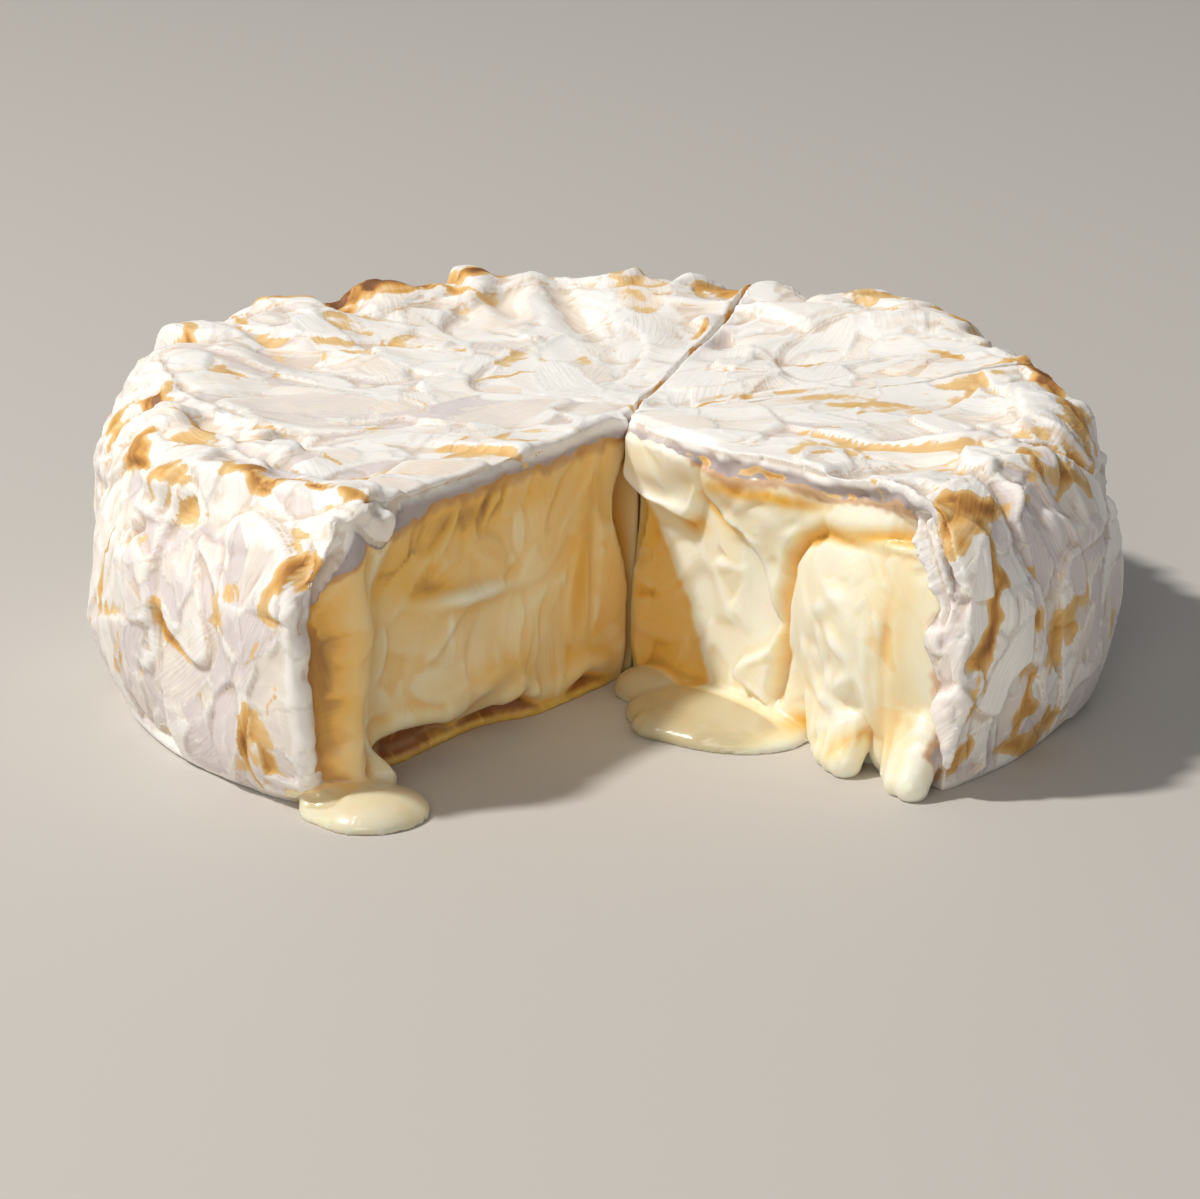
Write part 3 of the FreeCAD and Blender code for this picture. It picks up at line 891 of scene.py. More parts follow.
def tint_of(distance, height, spots, start):
    """The paste's tint, drawn from one even value toward each spot's own."""
    tint = np.full(len(distance), start)
    for middle, level, length, width, turn, value in spots:
        tint += (value - tint) * patch(distance - middle, height - level, length, width, turn)
    return tint


print("tints:", len(LEFT_TINTS), "left,", len(RIGHT_TINTS), "right")

# %% [markdown]
# ## Paths across the faces
#
# A stream of paste, the groove round the pillow and the scalloped hem are lines on a face. A curve
# object would have to be joined to the net. It is enough to know how far each corner lies from a
# line of straight stretches, each point given by distance along the face and height.

# %% Paths
HEM_PLACES = (3.0, 8.0, 12.0, 16.2, 20.0, 23.0, 27.1, 31.0, 37.1, 41.0, 44.0, 46.0)
HEM_HEIGHTS = (1.0, 2.4, 1.2, 1.4, 3.4, 2.6, 1.6, 3.6, 4.6, 4.8, 3.4, 0.0)
STREAM = [(44.6, 27.0), (46.4, 20.0), (46.8, 12.0), (46.2, 5.0), (46.6, 1.0)]
GROOVE = [(23.9, 3.9), (25.0, 10.9), (25.1, 15.1), (26.0, 19.5), (27.9, 21.9), (31.4, 23.6), (36.0, 24.0)]
GROOVE += [(41.7, 25.0), (45.0, 25.2)]
GROOVE_WIDTH = 0.85


def from_path(distance, height, path):
    """How far places on a face lie from a path of straight stretches."""
    nearest = np.full(len(distance), 1000.0)
    for (x0, y0), (x1, y1) in zip(path[:-1], path[1:]):
        run = (x1 - x0) ** 2 + (y1 - y0) ** 2
        share = np.clip(((distance - x0) * (x1 - x0) + (height - y0) * (y1 - y0)) / run, 0.0, 1.0)
        across = distance - x0 - share * (x1 - x0)
        nearest = np.minimum(nearest, np.hypot(across, height - y0 - share * (y1 - y0)))
    return nearest


def near_path(distance, height, path, width):
    """1 on a path, falling to 0 a little more than its width away."""
    return np.exp(-((from_path(distance, height, path) / width) ** 2))


print("paths: stream of", len(STREAM), "points, groove of", len(GROOVE), "points")

# %% [markdown]
# ## The left face
#
# This cut is the firmer one. It has a cream ridge beside an ochre hollow, a smooth strip near the
# middle of the wheel, and a stream of paste by the rind. At its foot the paste bulges in a scalloped
# hem over a dark undercut. All of it is pushed out or in from the flat face, in millimetres.

# %% Left face
LEFT_START = 0.5


def left_form(distance, height):
    """A cream ridge beside an ochre hollow, and a scalloped hem over the undercut."""
    ridge = patch(distance - 29.2, height - 17.0, 6.0, 0.9, 6.0)
    hollow = patch(distance - 35.9, height - 19.1, 3.6, 1.9, 10.0)
    strip = patch(distance - 7.0, height - 14.5, 10.0, 2.4, 112.0)
    hem = np.interp(distance, HEM_PLACES, HEM_HEIGHTS)
    under = 1.0 - soft(height - hem, -0.5, 0.3)
    roll = np.exp(-(((height - hem - 1.2) / 1.1) ** 2)) * soft(hem, 0.5, 2.0)
    stream = near_path(distance, height, STREAM, 1.7)
    return 1.1 * ridge - 0.7 * hollow - 0.5 * strip + 0.7 * roll - 1.3 * under + 0.9 * stream


def left_tint(distance, height):
    """Gold and cream, with a cream stream, and brown painted under the hem as the undercut's shade."""
    tint = tint_of(distance, height, LEFT_TINTS, LEFT_START)
    tint += (0.34 - tint) * near_path(distance, height, STREAM, 1.5)
    hem = np.interp(distance, HEM_PLACES, HEM_HEIGHTS)
    # Painted shade: brown under the hem, where the undercut lies in shadow.
    tint += (0.9 - tint) * (1.0 - soft(height - hem, -0.9, 0.3)) * soft(hem, 0.3, 1.6)
    return tint


print("hem from", min(HEM_HEIGHTS), "to", max(HEM_HEIGHTS), "mm above the board")

# %% [markdown]
# ## The right face
#
# This cut has run. Two festoons hang from its top edge, and a curtain hangs beside them, with a deep
# groove behind it and a plump pillow of paste beyond. A hanging layer is thickest just inside its
# edge, so every hem gets the same rounded lip. Small lumps keep the pillow from looking inflated.

# %% Right face
RIGHT_START = 0.08
FESTOON_PLACES = (0.0, 2.0, 5.3, 8.2, 11.1, 12.3, 13.5)
FESTOON_HEIGHTS = (26.5, 23.7, 21.6, 21.0, 20.2, 23.7, 30.0)
CURTAIN_HEIGHTS = (0.0, 3.4, 4.6, 6.5, 8.6, 11.9, 15.3, 18.3, 20.7, 21.4, 22.6, 25.0)
CURTAIN_EDGE = (25.0, 22.0, 17.6, 18.6, 22.6, 23.9, 22.5, 20.9, 19.2, 16.4, 15.4, 14.0)
TROUGH_HEIGHTS = (3.9, 10.9, 15.1, 19.5, 21.9, 23.6, 24.0)
TROUGH_PLACES = (23.9, 25.0, 25.1, 26.0, 27.9, 31.4, 60.0)
PILLOW_LUMPS = [
    (33.6, 16.4, 1.9, 1.0, 30.0, 0.6),
    (36.4, 13.4, 2.2, 0.9, -35.0, 0.8),
    (34.4, 10.4, 1.6, 1.0, 60.0, -0.5),
    (37.0, 9.2, 2.4, 0.8, 40.0, 0.9),
    (34.2, 6.6, 2.4, 0.9, -20.0, 0.7),
    (37.6, 5.0, 1.8, 0.9, 70.0, 0.6),
    (31.8, 12.0, 1.4, 1.0, 0.0, -0.4),
    (35.8, 18.2, 1.8, 0.8, -10.0, 0.5),
    (40.6, 10.0, 6.0, 0.7, 92.0, 0.35),
    (42.8, 13.0, 7.0, 0.6, 88.0, -0.3),
]


def lip(inside):
    """A hanging layer's height: 0 outside its edge, a thick rounded lip, and 1 further in."""
    return soft(inside, -0.3, 0.6) * (1.0 + 0.5 * np.exp(-(((inside - 1.1) / 1.0) ** 2)))


def right_form(distance, height):
    """Two festoons from the top edge, and a curtain whose hem ends in a lobe."""
    hem = np.interp(distance, FESTOON_PLACES, FESTOON_HEIGHTS)
    side = np.interp(height, CURTAIN_HEIGHTS, CURTAIN_EDGE)
    trough = np.interp(height, TROUGH_HEIGHTS, TROUGH_PLACES)
    inner = 1.0 - soft(distance - trough, -1.2, -0.2)
    curtain = 0.9 * lip(distance - side) * inner
    for middle, level, length, width, turn, rise in PILLOW_LUMPS:
        curtain += rise * patch(distance - middle, height - level, length, width, turn)
    festoon = (0.9 + 0.7 * (1.0 - soft(distance, 9.0, 13.0))) * lip(height - hem)
    groove = near_path(distance, height, GROOVE, GROOVE_WIDTH)
    return festoon + curtain - (1.1 - 0.3 * soft(distance, 29.0, 33.0)) * groove


def right_tint(distance, height):
    """Pale cream, with gold in the groove, and the left slice's cast shadow painted gold in the corner near
    the middle of the wheel.
    """
    tint = tint_of(distance, height, RIGHT_TINTS, RIGHT_START)
    groove = near_path(distance, height, GROOVE, GROOVE_WIDTH)
    tint += (0.68 - tint) * groove * (0.35 + 0.65 * soft(height, 6.0, 12.0))
    # Painted shadow: the left slice's cast shadow, a gold triangle from the knife point down toward the
    # board, ends at this edge.
    edge = np.interp(height, (2.7, 10.1, 21.0, 25.0), (13.3, 10.4, 3.7, 1.2))
    corner = (1.0 - soft(distance, edge - 0.7, edge + 0.3)) * soft(height, 1.0, 2.6)
    tint += (0.68 - tint) * corner * (1.0 - soft(height, 22.0, 24.5))
    return tint


print("lumps of the pillow:", len(PILLOW_LUMPS))

# %% [markdown]
# ## Paste on the board
#
# Some paste has run out of the open cuts and lies before them as thin, glossy puddles, already part
# of the net. What tells a puddle from the face behind it is only where it lies: low, and out in front.
# The same cell gives the tint of a whole face, with the painted shade at the knife point that both faces
# share. The middle puddle on the right is painted a darker gold as shade.

# %% Puddles
PUDDLE_SHARES = {"slice_left": 0.78, "slice_rear": 0.0, "slice_right": 1.0}


def puddle_share(name, distance, height, out):
    """How much a place belongs to paste that lies on the board in front of an open face."""
    share = PUDDLE_SHARES[name]
    if name == "slice_right":
        share = share - 0.5 * soft(distance, 25.0, 31.0)
    return share * (1.0 - soft(height, 3.0, 5.0)) * soft(out, 1.0, 3.0)


def tint_on_face(name, distance, height, puddle):
    """The paste's tint on the slice's open face with painted shade at the knife point, and cream where it
    has run out, a darker gold as painted shade in the middle puddle.
    """
    tint = left_tint(distance, height) if name == "slice_left" else right_tint(distance, height)
    # Painted shade at the knife point: gold down the gap, brown under the rind at its top, and a dark lens
    # in its hollow.
    tint += (0.5 - tint) * (1.0 - soft(distance, 0.8, 3.0)) * soft(height, 3.0, 8.0)
    tint += (1.0 - tint) * (1.0 - soft(np.abs(distance), 0.6, 2.0)) * soft(height, 22.0, 25.0)
    tint += (0.88 - tint) * patch(distance - 0.6, height - 16.4, 1.5, 3.4, 0.0)
    # The left puddle is cream; the middle puddle on the right is a darker gold as painted shade, and the
    # skirt beyond it is paler.
    run_out_and_shade = 0.2 if name == "slice_left" else 0.44 - 0.3 * soft(distance, 25.0, 31.0)
    return tint * (1.0 - puddle) + run_out_and_shade * puddle


print("puddle shares:", PUDDLE_SHARES)

# %% [markdown]
# ## Closed cuts
#
# Two of the cuts are pressed shut, and only a thin dark line shows on top. The solids stand a knife's
# width apart. Closing them all the way down would make the slices pass through each other, so only
# the upper edges lean in, and they stop with a hair's breadth between them.

# %% Closed cuts
HALF_GAP = 0.13
GAP_GROWTH = 0.45


def closed_cut_share(places):
    """1 close to the two closed cuts, where slices nearly touch."""
    share = np.zeros(len(places))
    for cut in (SIDE_CUT, REAR_CUT):
        away = places - KNIFE
        aside = np.abs(away @ heading(cut + 90.0))
        share = np.maximum(share, (1.0 - soft(aside, 0.6, 2.2)) * soft(away @ heading(cut), -1.5, 0.0))
    return share


def close_cuts(places):
    """Slices pressed together: their upper edges lean in until they almost touch."""
    moved = places.copy()
    for cut in (SIDE_CUT, REAR_CUT):
        across = heading(cut + 90.0)
        away = moved - KNIFE
        aside = away @ across
        share = soft(away @ heading(cut), 0.0, 3.0) * soft(places[:, 2], 0.5 * HEIGHT, 0.9 * HEIGHT)
        share *= 1.0 - soft(np.abs(aside), 0.8, 2.6)
        target = np.sign(aside) * (HALF_GAP + GAP_GROWTH * np.maximum(np.abs(aside) - HALF_GAP, 0.0))
        moved += across * ((target - aside) * share)[:, None]
    return moved


print("gap left at the closed cuts:", 2.0 * HALF_GAP, "mm")

# %% [markdown]
# ## The slump
#
# A ripe wheel slowly spreads. Its back rim stands wide and proud, its middle sinks, and the corners
# of the open cuts draw in. A lattice could do it, but smooth fields say which part moves and how
# far, in millimetres. The rim's moves are largest at the top, as the foot sticks to the board.

# %% Slump
BACK_SPREAD = 2.2
RIM_RISE = 0.6
LEFT_BACK_RISE = 1.5
LEFT_BACK_SPREAD = 1.2
MIDDLE_SINK = 0.5
CUT_DRAW = 2.2
TIPS_CLOSE = 0.4


def slump(places):
    """The whole wheel's slump: wide and proud at the back, sunk in the middle."""
    moved = places.copy()
    reach = np.hypot(places[:, 0], places[:, 1])
    outward = places[:, :2] / np.maximum(reach, 0.01)[:, None]
    bearing = np.degrees(np.arctan2(places[:, 1], places[:, 0]))
    back = soft(bearing, 5.0, 45.0) * (1.0 - soft(bearing, 150.0, 175.0))
    upper = soft(places[:, 2], 0.3 * HEIGHT, 0.85 * HEIGHT)
    spread = BACK_SPREAD * back * upper * soft(reach, 0.5 * RADIUS, 0.9 * RADIUS)
    moved[:, :2] += outward * spread[:, None]
    moved[:, 2] += RIM_RISE * upper * soft(reach, 0.55 * RADIUS, 0.85 * RADIUS) * (0.4 + 0.6 * back)
    left_back = soft(bearing, 92.0, 112.0) * (1.0 - soft(bearing, 162.0, 178.0))
    moved[:, 2] += LEFT_BACK_RISE * left_back * upper * soft(reach, 0.66 * RADIUS, 0.86 * RADIUS)
    spread = LEFT_BACK_SPREAD * left_back * upper * soft(reach, 0.6 * RADIUS, 0.9 * RADIUS)
    moved[:, :2] += outward * spread[:, None]
    moved[:, 2] -= MIDDLE_SINK * upper * (1.0 - soft(reach, 0.2 * RADIUS, 0.6 * RADIUS))
    return moved


def settle(name, places):
    """One slice's share of the slump, with its cut end drawn in and its tip closed up."""
    moved = slump(places)
    if name == "slice_rear":
        return moved
    if name == "slice_left":
        distance, height, out = left_open.measure(places)
        draw = CUT_DRAW * soft(distance, 34.0, 50.0) * (1.0 - soft(-out, 5.0, 11.0))
        draw *= 1.0 - soft(out, 0.2, 2.0)
        draw *= 1.0 - soft(height, 20.0, 28.0)
        moved -= left_open.out * draw[:, None]
    side = left_open if name == "slice_left" else right_open
    distance, height, _ = side.measure(places)
    tip = (1.0 - soft(np.abs(distance), 2.0, 5.0)) * soft(height, 0.5, 4.0)
    toward = heading(0.0) if name == "slice_left" else heading(180.0)
    return moved + toward * (TIPS_CLOSE * tip)[:, None]


print("back rim:", BACK_SPREAD, "mm wider, left of it", RIM_RISE + LEFT_BACK_RISE, "mm higher")

# %% [markdown]
# ## Relief of the rind
#
# The white rind is a felt that grew in overlapping scales and then crumpled. Four layers of plates
# make it: pinched folds along the rim, broad ones, middle ones and small ones. Each layer has its
# spacing, length and width, and a share of the lift. Near the middle of the wheel the rind is calmer.

# %% Rind relief
FOLDS = (6.5, 15.0, 8.0)
BROAD_PLATES = (8.0, 27.0, 13.0)
MIDDLE_PLATES = (5.2, 14.0, 5.6)
SMALL_PLATES = (3.2, 6.0, 2.2)
FOLD_LIFT = 1.2
BROAD_LIFT = 1.4
MIDDLE_LIFT = 0.34
SMALL_LIFT = 0.08
FOLD_EDGE = 0.3
BROAD_EDGE = 0.07
SIDE_SHADE = 0.28


def rind_relief(places, normals, skin, rng, voxel):
    """The crumpled skin: lift in millimetres, tone, steps and grain."""
    chosen = np.flatnonzero((skin > 0.2) & (places[:, 2] > 0.2))
    reach = np.hypot(places[:, 0], places[:, 1])
    rim = soft(reach, 0.72 * RADIUS, 0.84 * RADIUS) * soft(places[:, 2], 0.55 * HEIGHT, 0.75 * HEIGHT)
    pinched = np.flatnonzero((skin > 0.2) & (rim > 0.5))
    fold = lay_plates(places, normals, pinched, fold_guide, rng, *FOLDS, voxel, FOLD_EDGE)
    broad = lay_plates(places, normals, chosen, skin_guide, rng, *BROAD_PLATES, voxel, BROAD_EDGE)
    middle = lay_plates(places, normals, chosen, skin_guide, rng, *MIDDLE_PLATES, voxel)
    small = lay_plates(places, normals, chosen, skin_guide, rng, *SMALL_PLATES, voxel)
    calm = 0.5 + 0.5 * soft(reach, 0.45 * RADIUS, 0.8 * RADIUS)
    lift = calm * (BROAD_LIFT * broad.height + MIDDLE_LIFT * middle.height + SMALL_LIFT * small.height)
    lift += FOLD_LIFT * rim * fold.height + 0.1 * middle.step + 0.12 * broad.step - 0.5 * rim - 0.1
    tone = 0.75 * middle.tone + 0.25 * broad.tone
    # Painted shade: the side below the shoulder picks darker, lilac-grey whites.
    tone = tone - SIDE_SHADE * (1.0 - soft(places[:, 2], 0.8 * HEIGHT, 0.9 * HEIGHT))
    step = np.maximum(broad.step, 0.7 * middle.step)
    return lift, tone, step, middle.grain


print("lifts of the layers:", FOLD_LIFT, BROAD_LIFT, MIDDLE_LIFT, SMALL_LIFT, "mm")

# %% [markdown]
# ## Relief of the paste
#
# A knife drags soft paste into long smears. They are plates too, narrow and low, laid downhill over
# the open faces only. The drag also leaves the rind's cut edge ragged, and on the right slice it
# droops over the paste. That edge is a depth below the skin, bent by noise.

# %% Paste relief
SMEARS = (3.6, 12.0, 5.0)
SMEAR_EDGE = 0.4
SMEAR_LIFT = 0.38
RIND_DEPTH = 1.5


def paste_relief(places, normals, open_share, rng, voxel):
    """Soft smears over the open paste."""
    chosen = np.flatnonzero((open_share > 0.2) & (places[:, 2] > 0.3))
    if not len(chosen):
        return Plates(places)
    return lay_plates(places, normals, chosen, paste_guide, rng, *SMEARS, voxel, SMEAR_EDGE)


def ragged_edge(name, places, distance, height):
    """How deep the rind goes at each place, in millimetres, frayed and drooping here and there."""
    ragged = RIND_DEPTH + 0.5 * noise(places, 2.2) + 0.4 * noise(places, 0.9, 7.1)
    if name == "slice_right":
        droop = soft(distance, 8.0, 16.0) * soft(height, 20.0, 26.0)
        ragged += droop * (1.1 + 1.0 * noise(places, 4.5, 2.2))
        ragged += 0.9 * soft(distance, 42.0, 46.0) * noise(places, 3.0, 6.2)
    if name == "slice_left":
        ragged += (0.6 + 1.6 * soft(distance, 35.0, 42.0)) * soft(height, 21.0, 26.0)
        ragged += soft(distance, 44.0, 48.0) * (0.2 + 1.3 * noise(places, 3.2, 4.4))
    return ragged


print("rind about", RIND_DEPTH, "mm deep at the cuts")

# %% [markdown]
# ## Spikes and hollows
#
# Where steep folds cross, a corner of the net can shoot out and fold the faces round it. Smoothing
# everything would blur the creases, so only corners far from their neighbours' mean are drawn back.
# The same mean, taken over a wider ring, tells how hollow a place is. The finish paints hollows a little
# darker as shade, and ridges whiter as a highlight.

# %% Spikes and hollows
SPIKE_FROM = 0.08
SPIKE_FULL = 0.25
HOLLOW_FULL = 0.12


def neighbour_mean(mesh, places):
    """The mean place of each corner's neighbours on the net."""
    ends = np.empty(len(mesh.edges) * 2, dtype=np.int64)
    mesh.edges.foreach_get("vertices", ends)
    first, second = ends.reshape(-1, 2).T
    size = len(places)
    count = np.maximum(np.bincount(ends, minlength=size), 1)
    total = [
        np.bincount(first, places[second, axis], size) + np.bincount(second, places[first, axis], size)
        for axis in range(3)
    ]
    return np.stack(total, axis=1) / count[:, None]


def ease_spikes(mesh, places, rounds=4):
    """Corners that stick out far from their neighbours' mean are drawn back to it."""
    for _ in range(rounds):
        mean = neighbour_mean(mesh, places)
        spike = soft(np.linalg.norm(mean - places, axis=1), SPIKE_FROM, SPIKE_FULL)
        places = places + (mean - places) * spike[:, None]
    return places


def hollow_of(mesh, rounds=8):
    """How hollow the net is at each corner: 1 deep in a crease, -1 on a sharp ridge."""
    places, normals = mesh_arrays(mesh)
    mean = places
    for _ in range(rounds):
        mean = neighbour_mean(mesh, mean)
    return np.clip(np.sum((mean - places) * normals, axis=1) / HOLLOW_FULL, -1.0, 1.0)


print("spikes eased from", SPIKE_FROM, "mm")

# %% [markdown]
# ## Top and foot
#
# Crossing folds could rise above anything a wheel does, so heights near the top are rounded off
# gently. Nothing may sink into the board. The foot is dead flat and hidden, so its thousands of
# small faces become one.

# %% Top and foot
TOP_ROOM = 1.3


def level(places):
    """The highest crests rounded off, and nothing below the board."""
    places = places.copy()
    proud = places[:, 2] - 0.985 * HEIGHT
    places[:, 2] -= np.where(proud > 0.0, proud - TOP_ROOM * np.tanh(proud / TOP_ROOM), 0.0)
    places[:, 2] = np.maximum(places[:, 2], 0.0)
    return places


def thin_foot(piece):
    """The flat foot needs no fine net, so it becomes one face."""
    net = bmesh.new()
    net.from_mesh(piece.data)
    flat = [face for face in net.faces if all(corner.co.z < 1e-6 for corner in face.verts)]
    bmesh.ops.dissolve_faces(net, faces=flat, use_verts=True)
    net.to_mesh(piece.data)
    net.free()


print("crests stay below", round(0.985 * HEIGHT + TOP_ROOM, 2), "mm before the slump's last moves")

# %% [markdown]
# ## Dressing a slice
#
# Sculpting by hand could not be repeated, and a displace modifier would push every corner by one
# texture. Here every field is worked out on the even net first, and then each corner moves along its
# own normal. The fields stay on the net as attributes, which the finish reads to know rind from paste.

# %% Dressing
VOXELS = {"slice_left": 0.42, "slice_rear": 0.34, "slice_right": 0.34}
PUDDLE_DISC = (-22.0, -43.6, 6.9, 7.7)
EDGE_SOFTNESS = 0.35
EDGE_CRUMPLE = 0.45


def puddle_disc(places, height, out):
    """1 on the round top of the left puddle, where the net still counts as skin."""
    x, y, inner, outer = PUDDLE_DISC
    disc = 1.0 - soft(np.hypot(places[:, 0] - x, places[:, 1] - y), inner, outer)
    return disc * ((1.0 - soft(height, 2.2, 3.2)) * soft(out, -3.0, -2.2))


def keep_fields(mesh, fields):
    """Each field as an attribute on the net's corners."""
    for name, values in fields.items():
        attribute = mesh.attributes.new(name, "FLOAT", "POINT")
        attribute.data.foreach_set("value", values.astype(np.float32))


def dress(name, seed):
    """One finished slice: an even net, its fields, and every corner moved by them."""
    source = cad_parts[name].data
    voxel = VOXELS[name]
    beads = RIND_BEADS[name]
    side = left_open if name == "slice_left" else right_open
    piece = even_net("cheese_" + name, source, side.meshes(beads + PASTE_BEADS[name]), voxel)
    places, normals = mesh_arrays(piece.data)
    rng = np.random.default_rng(seed)
    depth = depth_below(skin_tree(source), places)
    distance, height, out = side.measure(places)
    disc = puddle_disc(places, height, out)
    ragged = ragged_edge(name, places, distance, height) - 6.0 * disc
    drips = on_beads(places, beads)
    rind = np.maximum(1.0 - soft(depth, ragged - EDGE_SOFTNESS, ragged + EDGE_SOFTNESS), drips)
    puddle = np.maximum(puddle_share(name, distance, height, out), 0.78 * disc)
    under = depth - ragged + 4.0 * puddle
    if name == "slice_right":
        under += 1.6 * (1.0 - soft(distance, 10.0, 14.0)) * soft(distance, 1.5, 3.0)
    depth *= 1.0 - drips
    skin = 1.0 - soft(depth, 0.5, 1.2)
    lift, tone, step, grain = rind_relief(places, normals, skin, rng, voxel)
    lift = (lift + top_lift(places)) * skin * (1.0 - 0.85 * closed_cut_share(places))
    facing = soft(normals @ side.out, 0.1, 0.4) * (1.0 - soft(-out, 3.0, 5.0)) * (distance > 0.0)
    open_share = facing * (1.0 - rind) if name != "slice_rear" else np.zeros(len(places))
    smear = paste_relief(places, normals, open_share, rng, voxel)
    form = left_form if name == "slice_left" else right_form
    wall = open_share * soft(distance, 0.5, 3.0) * (1.0 - soft(out, 3.0, 5.0))
    lift += wall * (form(distance, height) + SMEAR_LIFT * smear.height)
    lift += EDGE_CRUMPLE * facing * rind * soft(depth, 0.6, 1.2) * (0.7 + 0.8 * noise(places, 1.6, 9.1))
    moved = settle(name, places) + normals * (lift * soft(places[:, 2], 0.3, 2.0))[:, None]
    write_places(piece.data, ease_spikes(piece.data, close_cuts(level(moved))))
    inside = rind < 0.5
    fields = {
        "rind": rind,
        "tone": np.where(inside, smear.tone, tone),
        "step": np.where(inside, smear.step, step),
        "wear": np.maximum(wear_of(places), cut_wear(places)) * (1.0 - 0.85 * drips),
        "tint": tint_on_face(name, distance, height, puddle),
        "along": np.where(inside, smear.grain[:, 0], grain[:, 0]),
        "across": np.where(inside, smear.grain[:, 1], grain[:, 1]),
        "depth": depth,
        "under": under,
        "hollow": hollow_of(piece.data),
        "wet": np.maximum(puddle, 0.3 * open_share),
    }
    keep_fields(piece.data, fields)
    thin_foot(piece)
    piece.data.shade_smooth()
    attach(piece, "root")
    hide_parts(name)
    print(name, "corners", len(places), "triangles", sum(len(f.vertices) - 2 for f in piece.data.polygons))
    return piece


pieces = [dress(name, seed) for seed, name in enumerate(("slice_left", "slice_rear", "slice_right"))]

# %% [markdown]
# ## What the finish reads
#
# Rind and paste share one material, because the border between them is ragged and runs across the
# net's faces. Two materials would give it saw teeth. The shaders read every field of the net, and
# three noises: a fine grain, blotches of a few millimetres, and streaks that run along the plates.

# %% Fields for the finish
FIELD_NAMES = ("rind", "tone", "step", "wear", "along", "across", "depth", "under", "tint", "wet", "hollow")
GRAIN_SCALE = 1100.0
BLOTCH_SCALE = 260.0


def read_fields(sheet):
    """A wire for each field, and one for each of the fine noises."""
    read = {}
    for name in FIELD_NAMES:
        read[name] = sheet.node("ShaderNodeAttribute", {"attribute_name": name}, output="Fac")
    here = sheet.node("ShaderNodeTexCoord", output="Object")
    grain = {"Vector": here, "Scale": GRAIN_SCALE, "Detail": 3.0}
    read["fine"] = sheet.node("ShaderNodeTexNoise", {}, grain)
    blotches = {"Vector": here, "Scale": BLOTCH_SCALE, "Detail": 5.0}
    read["coarse"] = sheet.node("ShaderNodeTexNoise", {}, blotches)
    strand = sheet.node("ShaderNodeCombineXYZ", {}, {"X": read["along"] * 0.22, "Y": read["across"] * 2.6})
    read["streak"] = sheet.node("ShaderNodeTexNoise", {}, {"Vector": strand, "Scale": 1.0, "Detail": 3.0})
    return read


print("attributes on", pieces[0].name, ":", len(pieces[0].data.attributes))

# %% [markdown]
# ## Colour of the rind
#
# Fresh rind is a warm white, lilac-grey in some scales. Lower down the side and in hollows it is painted
# lilac-grey as shade. Sunk creases are beige, partly the rind's own ochre and partly painted shade, the
# steps between scales are beige, ridges are painted whiter as a highlight, and the cut edge is painted grey
# as shade. Where the rind is worn or dried it goes from straw to ochre to brown. Each of these is one
# colour laid over the last.

# %% Rind colour
WHITES = [
    (0.08, colour(229, 220, 219)),
    (0.28, colour(243, 234, 222)),
    (0.42, colour(252, 249, 243)),
    (0.7, colour(253, 250, 244)),
    (0.92, colour(247, 232, 216)),
]
OCHRES = [
    (0.0, colour(238, 206, 150)),
    (0.3, colour(224, 172, 92)),
    (0.6, colour(196, 138, 68)),
    (1.0, colour(128, 82, 46)),
]
STEP_LINE = colour(218, 180, 128)
CREASE_OCHRE_AND_SHADE = colour(206, 184, 156)
RIDGE_HIGHLIGHT = colour(255, 253, 249)
CUT_EDGE_SHADE = colour(168, 155, 157)


def rind_colour(read):
    """White with creases beige from ochre and painted shade, ridges whiter as a painted highlight, cut
    edges grey as painted shade, and ochre where it is worn.
    """
    tone, step, wear, hollow = (read[name] for name in ("tone", "step", "wear", "hollow"))
    coarse, streak = read["coarse"], read["streak"]
    # Painted shade: hollows pick darker, lilac-grey whites.
    pick = tone + (coarse - 0.5) * 0.3 + (streak - 0.5) * 0.3 - hollow * 0.1
    line = (step + (coarse - 0.5) + wear * 0.6).step(0.62, 1.1) * 0.7
    white = pick.ramp(WHITES).over(line, STEP_LINE)
    # Creases beige: partly the rind's own ochre, partly painted shade in the hollows.
    white = white.over((hollow + (coarse - 0.5) * 0.8).step(0.35, 1.0) * 0.5, CREASE_OCHRE_AND_SHADE)
    # Painted highlight: ridges whiter.
    white = white.over((hollow + (coarse - 0.5) * 0.4).step(-0.2, -0.8) * 0.5, RIDGE_HIGHLIGHT)
    # Painted shade: the rind's cut edge is grey.
    white = white.over(read["depth"].step(0.7, 1.6) * 0.85, CUT_EDGE_SHADE)
    worn = wear * (tone + 0.45) + step * 0.15 + (coarse - 0.5) * 0.6 + hollow * 0.12
    rust = worn.step(0.3, 1.4) + (streak - 0.5) * 0.3
    return white.over(worn.step(0.36, 0.44), rust.ramp(OCHRES))


print("whites:", len(WHITES), "ochres:", len(OCHRES))

# %% [markdown]
# ## Colour of the paste
#
# The tint field picks from one ramp, from fresh cream to ripe brown, and hollows pick a little browner as
# painted shade. Under the rind the paste is always riper, so a brown line follows the rind's edge. Puddles
# have gone dull and greenish.

# %% Paste colour
PASTES = [
    (0.0, colour(253, 246, 228)),
    (0.25, colour(250, 235, 198)),
    (0.5, colour(244, 212, 148)),
    (0.75, colour(243, 193, 90)),
    (1.0, colour(158, 98, 44)),
]
UNDER_RIND = colour(190, 134, 76)
DULL_PUDDLE = colour(190, 182, 152)


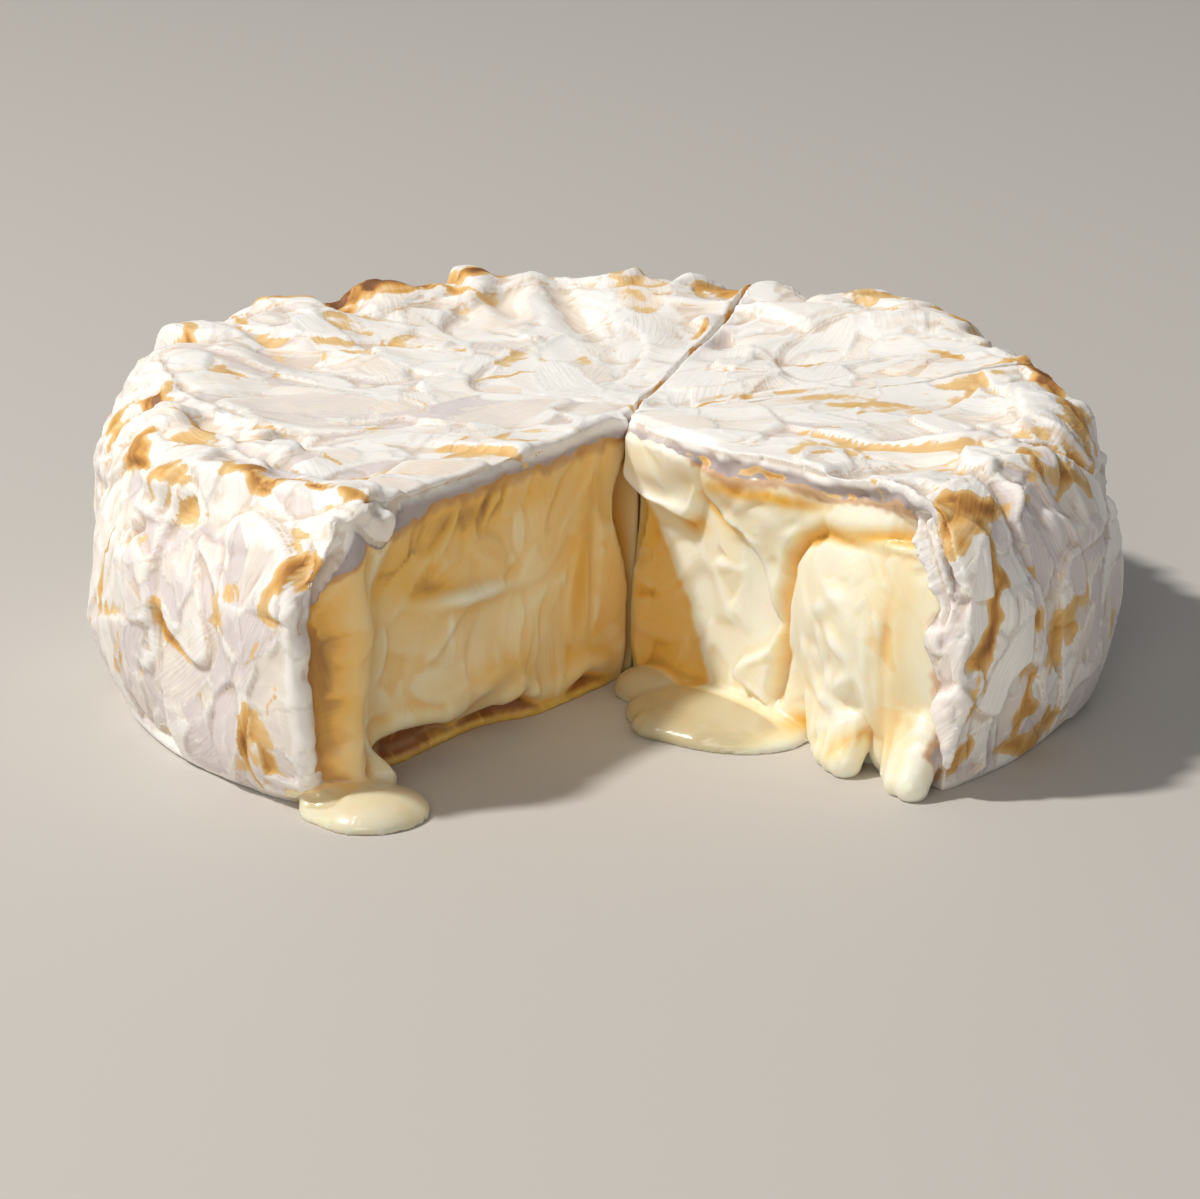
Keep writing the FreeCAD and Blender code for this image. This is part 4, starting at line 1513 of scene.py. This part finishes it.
def paste_colour(read):
    """Cream to brown by tint, browner in hollows as painted shade, a brown line under the rind, and dull
    puddles.
    """
    coarse = read["coarse"]
    # Painted shade: hollows move the pick toward brown.
    shade = read["tint"] + read["hollow"] * 0.1 + (read["tone"] - 0.5) * 0.16
    shade = shade + (coarse - 0.5) * 0.2 + (read["streak"] - 0.5) * 0.1
    edge = (read["under"] + (coarse - 0.5) * 1.2).step(1.5, 0.4) * 0.7
    paste = shade.ramp(PASTES).over(edge, UNDER_RIND)
    return paste.over(read["wet"].step(0.6, 1.0) * 0.8, DULL_PUDDLE)


print("pastes:", len(PASTES))

# %% [markdown]
# ## Rind and paste as one finish
#
# The rind is a matt felt, a little translucent, with a strong fine bump. The paste is a moist, fatty
# body that light enters deeply, so its shaded hollows glow golden, and puddles have a wet coat. The
# two shaders meet where the rind field says, with a border frayed by the grain.

# %% Rind and paste
BUMP_DEPTH = 0.0004


def bump(sheet, height, strength):
    """A fine relief that only the light sees."""
    inputs = {"Height": height, "Strength": strength, "Distance": BUMP_DEPTH}
    return sheet.node("ShaderNodeBump", {}, inputs)


def make_cheese():
    """The one material of all slices."""
    material = bpy.data.materials.new("rind and paste")
    material.use_nodes = True
    tree = material.node_tree
    tree.nodes.clear()
    sheet = Wire(tree)
    read = read_fields(sheet)
    fine, wet = read["fine"], read["wet"]
    grain = fine * 0.2 + read["coarse"] * 0.4 + read["streak"] * 0.6
    shell = {
        "Base Color": rind_colour(read),
        "Roughness": 0.6,
        "Normal": bump(sheet, grain, 0.45),
        "Subsurface Weight": 0.2,
        "Subsurface Radius": (1.0, 0.75, 0.5),
        "Subsurface Scale": 0.001,
    }
    body = {
        "Base Color": paste_colour(read),
        "Roughness": 0.45 - wet * 0.2,
        "Normal": bump(sheet, grain, 0.2),
        "Coat Weight": wet * 0.7,
        "Coat Roughness": 0.12,
        "Subsurface Weight": 0.6,
        "Subsurface Radius": (1.0, 0.62, 0.25),
        "Subsurface Scale": 0.003,
    }
    felt = sheet.node("ShaderNodeBsdfPrincipled", {}, shell)
    fat = sheet.node("ShaderNodeBsdfPrincipled", {}, body)
    border = (read["rind"] + (fine - 0.5) * 0.3).step(0.4, 0.6)
    both = sheet.node("ShaderNodeMixShader", {}, {0: border, 1: fat, 2: felt})
    sheet.node("ShaderNodeOutputMaterial", {}, {"Surface": both})
    return material


cheese = make_cheese()
for piece in pieces:
    piece.data.materials.clear()
    piece.data.materials.append(cheese)
print("nodes in", cheese.name, ":", len(cheese.node_tree.nodes))

# %% [markdown]
# ## Floor
#
# A plain pale floor catches the shadow. It is only a stage for the looks: one big square, far larger
# than the view, so that its edges never show.

# %% Floor
FLOOR_HALF = 2.0
FLOOR_COLOUR = colour(200, 196, 190)


def make_floor():
    """One big matt square under the slices."""
    mesh = bpy.data.meshes.new("floor")
    corners = [(x * FLOOR_HALF, y * FLOOR_HALF, 0) for x, y in ((-1, -1), (1, -1), (1, 1), (-1, 1))]
    mesh.from_pydata(corners, [], [(0, 1, 2, 3)])
    floor = bpy.data.objects.new("floor", mesh)
    scene.collection.objects.link(floor)
    material = bpy.data.materials.new("pale floor")
    material.use_nodes = True
    shader = material.node_tree.nodes["Principled BSDF"]
    shader.inputs["Base Color"].default_value = FLOOR_COLOUR
    shader.inputs["Roughness"].default_value = 0.7
    mesh.materials.append(material)
    return floor


floor = make_floor()
print("floor:", 2.0 * FLOOR_HALF, "m square")

# %% [markdown]
# ## End
#
# The scene is done.
